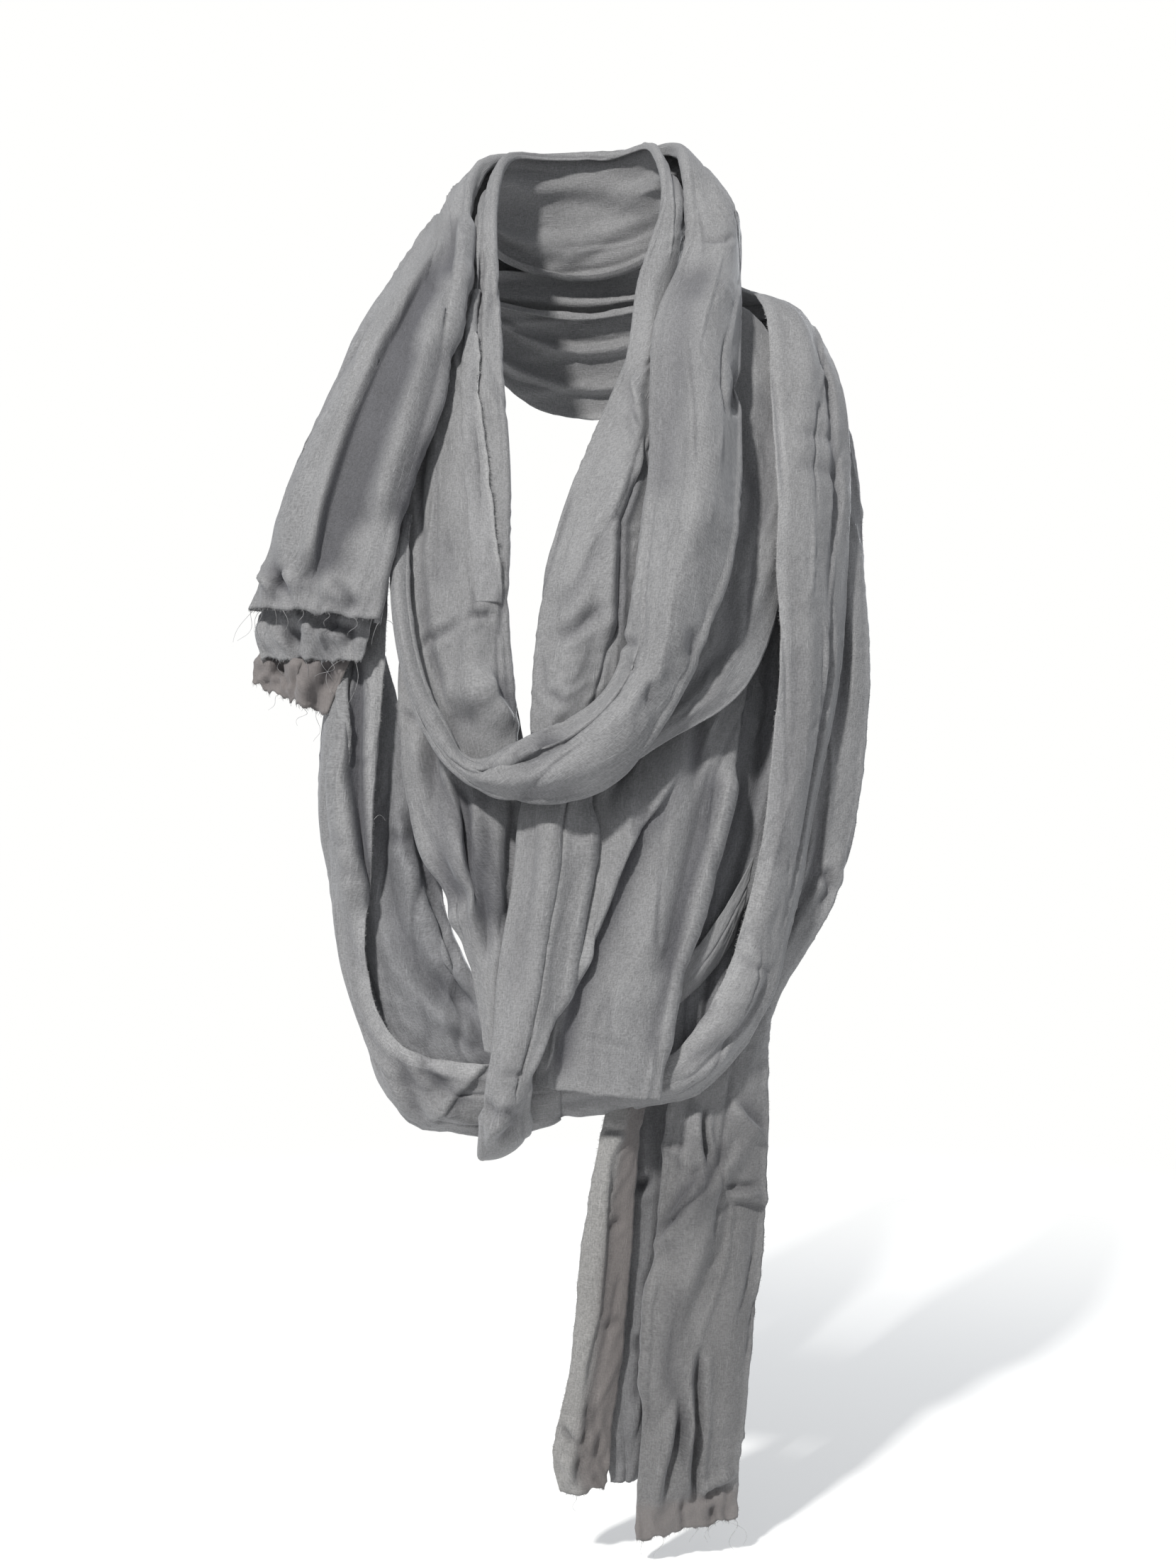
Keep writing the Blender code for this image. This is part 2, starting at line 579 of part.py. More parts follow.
def build_selvedge_strip(name, host_name, slot):
    """A strip on the outer side of another stretch, made from its points and lifted off them."""
    host = next(row for row in STRETCHES if row[0] == host_name)
    path, first, last, across, along = host[1:6]
    table = np.asarray(SELVEDGE_STRIP, float)
    knots = path_knots(PATHS[path])
    at = places_along(path, first, last, along)
    share = np.linspace(0.0, 1.0, across)
    flat = np.zeros(across)
    points = band_points(path, share, flat, at)
    normal = surface_normals(path, share, flat, at, points)
    row = np.interp(at, knots, np.arange(len(knots)))
    inside = (row > table[0, 0]) & (row < table[-1, 0])
    row_of_strip = np.concatenate([table[:1, 0], row[inside], table[-1:, 0]])
    place = np.interp(row_of_strip, row, np.arange(len(row)))
    lifted = between(points + normal * STRIP_LIFT, place)
    facing = between(normal, place)
    start = np.interp(row_of_strip, table[:, 0], table[:, 1])
    end = np.interp(row_of_strip, table[:, 0], table[:, 2])
    side = start[:, None] + (end - start)[:, None] * np.linspace(0.0, 1.0, STRIP_COLUMNS)
    side = side * (across - 1)
    low = np.clip(np.floor(side).astype(int), 0, across - 2)
    part = (side - low)[:, :, None]
    line = np.arange(len(place))[:, None]
    strip = lifted[line, low] * (1.0 - part) + lifted[line, low + 1] * part
    facing = facing[line, low] * (1.0 - part) + facing[line, low + 1] * part
    facing /= np.linalg.norm(facing, axis=2, keepdims=True)
    return wall_mesh(name, strip, facing, WALL, cloth_material(slot))


for item in list(bpy.data.objects):
    bpy.data.objects.remove(item, do_unlink=True)
for stretch in STRETCHES:
    build_stretch(*stretch)
build_selvedge_strip("selvedge_strip", "cowl_left", SELVEDGE)
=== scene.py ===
"""A long grey cloth in the form in which it is worn: thin shells of cloth on the wound form.

Each shell is a grid of points on one band. A band is carried along a path: a row of the path gives
its two edges (inner edge, then outer edge, in millimetres) and how far the middle of the cloth
stands out from the straight line between them. Folds run along the band, creases and fold edges
are laid on it where they show from the front, and weak uneven waves cover all of it. The
grid is then closed into a thin wall. Raw edges get short fibres and the hems get loose threads.
Lengths in the tables are millimetres, the scene is in metres.
"""

import math

import bpy
import numpy as np
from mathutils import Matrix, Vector


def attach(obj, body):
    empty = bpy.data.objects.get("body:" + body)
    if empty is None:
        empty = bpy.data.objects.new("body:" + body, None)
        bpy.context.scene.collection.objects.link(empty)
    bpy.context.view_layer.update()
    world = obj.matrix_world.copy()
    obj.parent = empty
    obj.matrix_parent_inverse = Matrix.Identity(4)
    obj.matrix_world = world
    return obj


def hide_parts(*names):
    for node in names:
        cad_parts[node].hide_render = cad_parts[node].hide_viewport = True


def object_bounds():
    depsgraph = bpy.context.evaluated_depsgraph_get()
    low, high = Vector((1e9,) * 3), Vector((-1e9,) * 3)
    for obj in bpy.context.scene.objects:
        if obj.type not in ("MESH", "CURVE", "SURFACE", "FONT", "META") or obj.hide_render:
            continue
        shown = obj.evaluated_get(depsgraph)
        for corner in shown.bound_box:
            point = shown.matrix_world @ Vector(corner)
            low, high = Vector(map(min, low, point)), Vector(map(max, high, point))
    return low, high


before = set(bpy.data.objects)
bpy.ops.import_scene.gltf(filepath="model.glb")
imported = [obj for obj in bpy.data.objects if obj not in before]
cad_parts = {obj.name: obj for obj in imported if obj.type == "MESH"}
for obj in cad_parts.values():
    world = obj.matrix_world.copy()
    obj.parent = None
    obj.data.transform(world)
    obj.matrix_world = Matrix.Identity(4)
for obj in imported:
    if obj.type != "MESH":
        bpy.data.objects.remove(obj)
CAD_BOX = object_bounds()

MM = 0.001
# Least length that anything is divided by.
TINY = 1e-9

# Thickness of the cloth, and the steps of the grids: along a band, across it, and where it is hidden.
CLOTH = 0.8
STEP_ALONG = 2.4
STEP_ACROSS = 1.5
STEP_HIDDEN = 4.5
# Half the step along the path that gives its direction.
HALF_STEP = 0.5

# Points round a rolled edge and on its return.
ARC_POINTS = 6
RETURN_POINTS = 3
# A rolled edge's radius is at most this share of the band's width.
EDGE_SHARE = 0.14
# On a band that is narrower than this, folds are lower and an edge's return is shorter, down to the
# share that follows.
FULL_FOLD_WIDTH = 60.0
LEAST_RETURN = 0.3

# Long folds: how far the middle wanders and how much the width and the height swell, as shares, and
# the lengths and number of the waves that drive this.
FOLD_WANDER = 0.22
FOLD_SWELL = 0.18
FOLD_RISE = 0.22
WANDER_LENGTHS = (90.0, 280.0)
SWELL_LENGTHS = (70.0, 240.0)
FOLD_WAVES = 6

# An edge drops over this length at least, or over this share of its height. It leans over by the
# second share of its height. Edges and rolls have their own shares.
LEAST_DROP = 2.6
DROP_SHARES = {"edge": 0.95, "roll": 0.65}
LEAN_SHARES = {"edge": 0.3, "roll": 0.75}
# A ridge or a trough is this sharp along its line: two is round. A trough's low raised sides are this
# share of its depth.
CREASE_POWER = 1.5
TROUGH_SIDES = 0.35
# Soft ends of a crease, and of a roll's first end, with their largest share of the line's length.
CREASE_END = 22.0
CREASE_END_SHARE = 0.35
ROLL_START = 80.0
ROLL_START_SHARE = 0.4
# Creases are laid on the part of a shell that is in front of this, and come in over this depth.
FRONT = -5.0
FRONT_SOFT = 10.0

# Height or depth that gives full painted shade beside a fold's edge, in a trough and in a long fold,
# and how far the painted shade beside an edge reaches for each millimetre of its height, and besides.
EDGE_SHADE = 11.0
TROUGH_SHADE = 6.0
FOLD_SHADE = 9.0
SHADE_REACH = 0.7
SHADE_MARGIN = 2.0
# Most painted shade of all creases, of one trough, and of a long crevice.
MOST_PAINTED_SHADE = 0.9
TROUGH_MOST_SHADE = 0.45
VALLEY_MOST_SHADE = 0.35

# Uneven fields of a shell. Columns: wave lengths across and along the band, and number of waves.
LONG_WAVES = ((22.0, 60.0), (140.0, 420.0), 14)
WRINKLE_WAVES = ((14.0, 34.0), (16.0, 50.0), 14)
WRINKLE_PATCHES = ((60.0, 140.0), (80.0, 200.0), 8)
LINE_WAVES = ((36.0, 96.0), (180.0, 700.0), 9)
LINE_PATCHES = ((70.0, 160.0), (120.0, 300.0), 8)
CRUMPLE_WAVES = ((13.0, 46.0), (16.0, 70.0), 9)
# Drawn for a direction in which a field doesn't change, so that it has no effect.
ANY_LENGTH = (50.0, 60.0)
# Height of the long waves as a share of the shell's, and the value of their field past which small
# wrinkles go no deeper.
LONG_SHARE = 0.5
WRINKLE_LIMIT = 1.6
# Level of the patches in which wrinkles and long lines come out.
WRINKLE_LEVEL = 0.5
LINE_LEVEL = 0.4
# Long crests and crevices all over the cloth: height for each millimetre of the long waves, and how
# far from the middle of a wave they reach, as a share of its height.
CREST_TALL = 2.2
CREST_HALF = 0.34
VALLEY_TALL = 2.4
VALLEY_HALF = 0.24
# Least half width of such a line in grid steps, and how sharp its middle is.
LEAST_LINE = 2.6
LINE_POWER = 1.4
# Crumpled cloth stands out by this share of its height at most, and goes no deeper past this value of
# its field.
CRUMPLE_TOP = 0.7
CRUMPLE_LIMIT = 1.5

# Raw long edges go in and out by this, with waves of these lengths, and less further into the cloth.
RAW_SWAY = 0.22
RAW_LENGTHS = (9.0, 70.0)
RAW_REACH = 3.0
# The same for cut hems, whose sway is in a table.
HEM_LENGTHS = (3.0, 30.0)
HEM_REACH = 6.0

# What a point of the cloth carries for its colour: how far it belongs to the pale selvedge, to the
# thin brownish end, to a single layer with painted shade on it, and to the painted shade of a hollow.
MARKS = ("selvedge", "sheer", "single_layer_and_shade", "painted_shade")
# How sharply a selvedge ends, and over which share of the width the brownish end comes in.
SELVEDGE_POWER = 6
SHEER_SIDE = 0.25

# Seeds that are added to a shell's own for its folds and its fibres.
FOLD_SEED = 500
FIBRE_SEED = 900
# Past the last row of every path.
LAST_ROW = 99

# Columns: inner edge x, y, z, outer edge x, y, z, bow.
PATHS = {
    # From the short end on the left front, over the nape, down the right, round the bottom to the left.
    "cowl": [
        (-127, -150, -316, -216, -112, -305, 8),
        (-120, -149, -278, -205, -106, -273, 10),
        (-111, -144, -243, -194, -96, -237, 12),
        (-96, -132, -191, -173, -72, -174, 14),
        (-87, -110, -143, -152, -38, -114, 14),
        (-82, -80, -94, -132, -5, -67, 12),
        (-80, -38, -46, -106, 30, -19, 10),
        (-82, 6, 0, -99, 54, -14, 8),
        (-74, 54, 40, -92, 88, -28, 6),
        (-41, 92, 54, -50, 112, -40, 5),
        (0, 102, 58, 0, 121, -44, 5),
        (41, 92, 58, 52, 112, -38, 5),
        (72, 56, 52, 95, 86, -22, 6),
        (78, 16, 33, 113, 48, -14, 8),
        (80, -10, -4, 117, 6, -46, 10),
        (78, -26, -40, 114, -34, -86, 12),
        (60, -58, -84, 110, -72, -130, 14),
        (49, -92, -143, 108, -110, -189, 16),
        (46, -122, -205, 104, -141, -242, 16),
        (40, -147, -259, 97, -162, -283, 16),
        (34, -162, -305, 86, -173, -313, 16),
        (24, -172, -349, 69, -180, -353, 14),
        (1, -179, -375, 45, -185, -395, 14),
        (-24, -180, -388, 20, -186, -421, 12),
        (-45, -179, -397, -15, -185, -432, 10),
        (-60, -176, -404, -45, -181, -430, 7),
        (-72, -170, -400, -70, -174, -418, 4),
        (-80, -168, -386, -88, -170, -398, 4),
        (-91, -163, -366, -102, -163, -374, 4),
        (-100, -158, -341, -112, -157, -345, 4),
        (-106, -152, -310, -118, -150, -310, 4),
        (-108, -139, -278, -120, -136, -278, 3),
        (-106, -124, -245, -115, -121, -245, 2),
    ],
    # From the crossing at the cowl's bottom up the left, over the nape, down the right inside the cowl.
    "collar": [
        (-38, -162, -398, -66, -159, -412, 2),
        (-39, -160, -372, -84, -154, -384, 6),
        (-42, -156, -341, -100, -146, -345, 8),
        (-44, -151, -305, -109, -138, -309, 8),
        (-44, -141, -254, -113, -118, -264, 8),
        (-45, -126, -206, -110, -104, -210, 8),
        (-50, -98, -146, -96, -82, -150, 7),
        (-55, -62, -86, -81, -49, -96, 5),
        (-60, -28, -33, -74, -12, -48, 4),
        (-60, 10, 10, -74, 30, -18, 4),
        (-53, 46, 40, -66, 68, -26, 4),
        (-31, 74, 48, -37, 88, -36, 4),
        (0, 82, 50, 0, 97, -40, 4),
        (31, 74, 50, 37, 88, -36, 4),
        (53, 46, 49, 67, 66, -22, 4),
        (60, 18, 32, 77, 32, -12, 4),
        (62, -8, 2, 77, 4, -18, 4),
        (55, -24, -34, 74, -12, -48, 5),
        (43, -44, -73, 68, -32, -83, 5),
        (36, -70, -123, 62, -56, -123, 6),
        (17, -98, -177, 60, -79, -178, 8),
        (-5, -124, -232, 57, -109, -234, 9),
        (-18, -141, -279, 50, -134, -286, 9),
        (-26, -154, -327, 40, -147, -332, 9),
        (-29, -161.5, -366, 20, -158.5, -370, 7),
        (-29, -166.5, -388, -4, -165.5, -393, 4),
    ],
    # From the knot round the left of the long loop, over the nape, and down its right side to the knot.
    "loop": [
        (-12, -150, -598, -10, -138, -637, 6),
        (-56, -150, -598, -56, -137, -648, 6),
        (-81, -148, -596, -84, -132, -645, 8),
        (-106, -146, -590, -111, -130, -637, 10),
        (-122, -142, -575, -126, -118, -606, 10),
        (-132, -140, -551, -143, -105, -559, 10),
        (-135, -138, -513, -155, -100, -518, 10),
        (-132, -136, -472, -165, -98, -476, 10),
        (-130, -134, -426, -170, -98, -427, 10),
        (-127, -130, -381, -169, -96, -380, 9),
        (-125, -122, -340, -165, -86, -338, 8),
        (-124, -112, -298, -162, -74, -295, 6),
        (-121, -98, -250, -158, -58, -245, 6),
        (-112, -76, -186, -146, -30, -179, 6),
        (-102, -46, -123, -130, 2, -118, 6),
        (-94, -10, -82, -118, 38, -84, 6),
        (-86, 32, -54, -108, 70, -82, 6),
        (-66, 69.9, -40, -82, 99.9, -98, 5),
        (-36, 91.9, -34, -42, 116.9, -112, 5),
        (0, 98.9, -33, 0, 123.9, -118, 5),
        (40, 91.9, -32, 50, 116.9, -110, 5),
        (80, 67.9, -38, 106, 94.9, -98, 5),
        (111, 35, -59, 146, 58, -86, 6),
        (126, 2, -75, 164, 30, -88, 7),
        (131, -29, -96, 174, 6, -104, 8),
        (131, -53, -136, 184, -26, -142, 8),
        (131, -84, -191, 187, -45, -184, 8),
        (131, -109, -242, 187, -60, -225, 8),
        (129, -122, -280, 183, -75, -274, 8),
        (131, -128, -326, 178, -90, -323, 8),
        (128, -134, -372, 171, -100, -370, 8),
        (124, -138, -408, 163, -105, -408, 8),
        (120, -140, -444, 156, -110, -440, 8),
        (114, -142, -476, 148, -115, -487, 8),
        (102, -146, -521, 138, -120, -523, 8),
        (89, -150, -552, 129, -125, -555, 10),
        (72, -152, -579, 110, -132, -585, 10),
        (57, -152, -593, 80, -142, -616, 8),
        (30, -151, -598, 43, -138, -628, 6),
        (-17, -148.4, -597.5, -15, -136.4, -637, 6),
    ],
    # From under the loop at the back, over the right shoulder and down to the hem of the tail.
    "tail": [
        (-76, 60, -58, -82, 78, -90, 3),
        (-40, 88, -62, -44, 103, -128, 4),
        (0, 96, -66, 0, 110, -142, 5),
        (44, 87, -62, 58, 102, -136, 5),
        (84, 62, -66, 114, 78, -118, 5),
        (118, 24, -92, 152, 44, -116, 5),
        (138, -8, -128, 176, 18, -130, 5),
        (144, -30, -164, 190, 0, -164, 6),
        (146, -56, -226, 195, -28, -216, 7),
        (144, -78, -300, 197, -57, -296, 7),
        (136, -92, -371, 196, -75, -365, 7),
        (126, -100, -426, 189, -84, -422, 7),
        (112, -106, -477, 178, -90, -474, 7),
        (95, -114, -523, 152, -97, -529, 7),
        (78, -119, -569, 128, -108, -570, 7),
        (62, -125, -615, 125, -113, -615, 8),
        (56, -126, -664, 124, -112, -665, 8),
        (51, -129, -719, 121, -115, -720, 8),
        (46, -130, -774, 114, -117, -775, 8),
        (42, -129, -829, 109, -116, -830, 8),
        (38, -127, -876, 105, -115, -872, 6),
        (38, -125, -907, 104, -114, -898, 4),
    ],
    # The left strip of the tail, from under the loop to its hem.
    "tail_strip": [
        (30, -130, -594, 52, -128, -592, 3),
        (16, -137, -641, 42, -132, -637, 4),
        (10, -136, -672, 38, -130, -671, 5),
        (3, -137, -713, 35, -131, -712, 5),
        (-1, -137, -759, 31, -131, -760, 5),
        (-6, -136, -804, 27, -130, -806, 5),
        (-13, -134, -837, 22, -129, -839, 5),
        (-14, -132, -860, 20, -128, -864, 4),
        (-9, -130, -876, 18, -128, -875, 3),
    ],
    # The narrow strip that shows between the tail and its left strip.
    "tail_middle": [
        (28, -116.5, -600, 66, -112.5, -600, 3),
        (24, -118.5, -660, 58, -115.5, -660, 3),
        (20, -120.5, -730, 54, -117.5, -730, 4),
        (18, -120.5, -800, 50, -117.5, -800, 4),
        (20, -119.5, -850, 46, -116.5, -850, 4),
        (22, -118.5, -874, 40, -116.5, -872, 3),
    ],
    # From the right side, under the cowl's right limb, to the crossing at its bottom.
    "under_cowl": [
        (100, -6, -78, 130, -10, -96, 3),
        (96, -34, -128, 142, -36, -130, 4),
        (92, -70, -194, 145, -64, -192, 5),
        (88, -102, -253, 144, -90, -252, 6),
        (78, -128, -300, 134, -110, -299, 6),
        (62, -148, -341, 118, -132, -341, 6),
        (43, -163.8, -373, 99, -153.8, -367, 5),
        (21, -168.8, -393, 67, -164.8, -388, 4),
        (0, -170.8, -406, 32, -170.8, -408, 3),
        (-13, -171.8, -415, 8, -172.8, -422, 2),
    ],
    # The wide pleat inside the loop, from its gathered top to the loop's bottom.
    "pleats_right": [
        (76, -102, -275, 108, -95, -271, 2),
        (42, -117, -327, 114, -104, -322, 5),
        (16, -132, -386, 107, -124, -372, 10),
        (1, -144, -431, 98, -140, -417, 12),
        (-5, -148, -471, 87, -146, -462, 10),
        (-11, -152, -511, 75, -152, -505, 10),
        (-17, -157, -551, 63, -157, -538, 11),
        (-22, -160.5, -584, 57, -162.5, -573, 11),
        (-26, -162.5, -610, 52, -165.5, -619, 8),
    ],
    # From its gathered top down the middle and round the loop's bottom as the knot.
    "pleats_middle": [
        (50, -97, -222, 65, -95, -219, 2),
        (34, -110, -270, 66, -108, -266, 3),
        (12, -128, -326, 48, -127, -322, 4),
        (-15, -145, -386, 28, -144, -381, 6),
        (-35, -157, -433, 10, -155, -428, 8),
        (-39, -164, -471, 5, -163, -469, 9),
        (-45, -171, -511, -2, -170, -508, 9),
        (-50, -177, -550, -8, -176, -548, 9),
        (-53, -182, -586, -16, -182, -581, 8),
        (-57, -181, -611, -26, -182, -606, 6),
        (-60, -173, -640, -29, -174, -625, 5),
        (-61, -154, -659, -29, -156, -641, 4),
        (-59, -134, -657, -31, -135, -642, 2),
    ],
    # The narrow pleat on the left, from its gathered top down to the knot.
    "pleats_left": [
        (-95, -83, -196, -68, -87, -196, 2),
        (-106, -94, -240, -57, -100, -240, 4),
        (-112, -112, -300, -52, -120, -300, 5),
        (-116, -123, -354, -43, -130, -354, 6),
        (-113, -130, -395, -33, -136, -399, 6),
        (-106, -136, -431, -31, -143, -431, 6),
        (-95, -145.4, -467, -33, -153.4, -467, 7),
        (-80, -152.4, -494, -35, -158.4, -502, 7),
        (-70, -159.4, -525, -42, -163.4, -533, 6),
        (-62, -163.4, -560, -46, -166.4, -565, 4),
        (-58, -166.4, -588, -48, -168.4, -590, 2),
    ],
    # The layer behind the left side of the loop.
    "inner_layer": [
        (-140, -99, -338, -126, -105, -336, 2),
        (-139, -110.4, -408, -104, -112.4, -412, 3),
        (-141, -113.4, -454, -93, -117.4, -452, 4),
        (-145, -116.0, -500, -84, -126.4, -503, 6),
        (-141, -119.0, -541, -66, -132.4, -546, 6),
        (-130, -124.0, -580, -50, -138.4, -578, 6),
        (-106, -131.0, -611, -46, -143.4, -606, 4),
    ],
    # Pleats in the shade of the loop's right side.
    "shaded_pleats": [
        (112, -57, -212, 131, -54, -212, 2),
        (106, -74, -256, 144, -68, -256, 3),
        (104, -92, -318, 142, -88, -318, 4),
        (97, -105, -371, 138, -100, -371, 4),
        (86, -116, -417, 132, -107, -413, 5),
        (76, -122, -463, 126, -114, -458, 5),
        (66, -126, -508, 116, -121, -504, 5),
        (56, -131, -548, 102, -126, -544, 5),
        (57, -138, -611, 84, -134, -606, 3),
    ],
    # Second and third layer under the short end's hem.
    "second_layer": [
        (-200, -100.8, -292, -134, -130.8, -300, 3),
        (-210, -102.8, -316, -133, -134.8, -322, 4),
        (-207, -103.8, -338, -138, -134.8, -341, 3),
    ],
    "third_layer": [
        (-196, -93.2, -304, -146, -114.2, -314, 3),
        (-212, -94.2, -338, -148, -120.2, -341, 5),
        (-214, -94.2, -354, -163, -117.2, -375, 3),
    ],
    # A fold across the loop's lower right.
    "corner_flap": [
        (114, -134, -466, 101, -132, -520, 1),
        (94, -140, -500, 86, -138, -540, 3),
        (74, -145, -526, 70, -144, -556, 3),
        (57, -148, -540, 55, -148, -566, 1),
    ],
}

# Columns: place across at the start, at the end, half width (all as shares of the width), height,
# and the rows of the path where the fold begins and ends.
FOLDS = {
    "cowl": [
        (0.84, 0.84, 0.16, 3, 0, 8),
        (0.20, 0.24, 0.07, -6, 7.5, 13.5),
        (0.46, 0.42, 0.09, -6, 7, 13),
        (0.72, 0.68, 0.08, -7, 7.5, 14),
        (0.50, 0.52, 0.38, 4, 13, 20),
        (0.24, 0.26, 0.06, -3.5, 20, 26),
        (0.62, 0.62, 0.32, 4, 18, 26),
    ],
    "collar": [
        (0.84, 0.86, 0.10, -4, 1, 8),
        (0.40, 0.30, 0.28, 3, 0.5, 6),
        (0.30, 0.30, 0.10, -4, 5, 9),
        (0.62, 0.60, 0.14, -4, 5.5, 9),
        (0.30, 0.30, 0.16, -4, 8, 17),
        (0.70, 0.68, 0.16, -4, 8, 17),
        (0.35, 0.35, 0.25, 2.5, 17, 25),
    ],
    "loop": [
        (0.56, 0.52, 0.08, -3, 3, 15),
        (0.80, 0.80, 0.18, 3, 3, 15),
        (0.35, 0.35, 0.16, -3, 0.5, 5),
        (0.26, 0.30, 0.10, -6, 15, 22),
        (0.54, 0.50, 0.10, -5, 14, 21),
        (0.80, 0.78, 0.10, -6, 15, 23),
        (0.34, 0.30, 0.30, 3, 23, 37),
        (0.74, 0.70, 0.12, -4, 24, 34),
        (0.60, 0.55, 0.16, -3, 34, 38.5),
    ],
    "tail": [
        (0.30, 0.34, 0.10, -6, 0, 6),
        (0.70, 0.66, 0.10, -6, 0, 8),
        (0.56, 0.60, 0.14, -4, 6, 14),
        (0.16, 0.14, 0.32, 8, 13.5, 21),
    ],
    "tail_strip": [(0.24, 0.26, 0.22, 3, 0.5, 8)],
    "tail_middle": [(0.40, 0.45, 0.16, -3, 0, 5), (0.76, 0.74, 0.16, 3, 1, 5)],
    "under_cowl": [(0.35, 0.45, 0.20, -3, 1, 7), (0.72, 0.66, 0.20, 3, 1, 7)],
    "pleats_right": [
        (0.12, 0.10, 0.10, 2, 0, 8),
        (0.30, 0.22, 0.10, -5, 0, 3.5),
        (0.68, 0.74, 0.10, -5, 0, 3.5),
    ],
    "pleats_middle": [(0.34, 0.34, 0.30, 2, 2, 10), (0.70, 0.64, 0.05, -4, 0, 9.5)],
    "pleats_left": [
        (0.68, 0.66, 0.20, 2.5, 2, 9.5),
        (0.86, 0.88, 0.08, -4, 2, 9),
        (0.40, 0.34, 0.10, -4, 0, 4),
    ],
    "inner_layer": [(0.84, 0.82, 0.12, -4, 1, 6)],
    "shaded_pleats": [(0.30, 0.30, 0.18, 3, 1, 8), (0.66, 0.66, 0.16, -4, 0, 8)],
    "second_layer": [(0.30, 0.34, 0.12, 3, 0, 2), (0.66, 0.62, 0.14, -3, 0, 2)],
    "third_layer": [(0.34, 0.30, 0.14, -3, 0, 2), (0.70, 0.66, 0.14, 3, 0, 2)],
}

# Columns: radius, turn in degrees and return of the inner edge, then of the outer edge.
# A radius of nothing leaves the edge raw, and a path that isn't here has two raw edges.
RAW = (0, 0, 0, 0, 0, 0)
ROLLS = {
    "cowl": (4.0, 160, 5, 4.0, 160, 5),
    "collar": (2.6, 155, 3, 2.6, 155, 3),
    "loop": (0, 0, 0, 3.6, 160, 5),
    "tail": (2.6, 155, 3, 0, 0, 0),
    "pleats_right": (2.6, 155, 3, 2.8, 160, 5),
    "pleats_middle": (2.8, 155, 4, 2.8, 155, 4),
    "pleats_left": (2.6, 155, 3, 0, 0, 0),
}
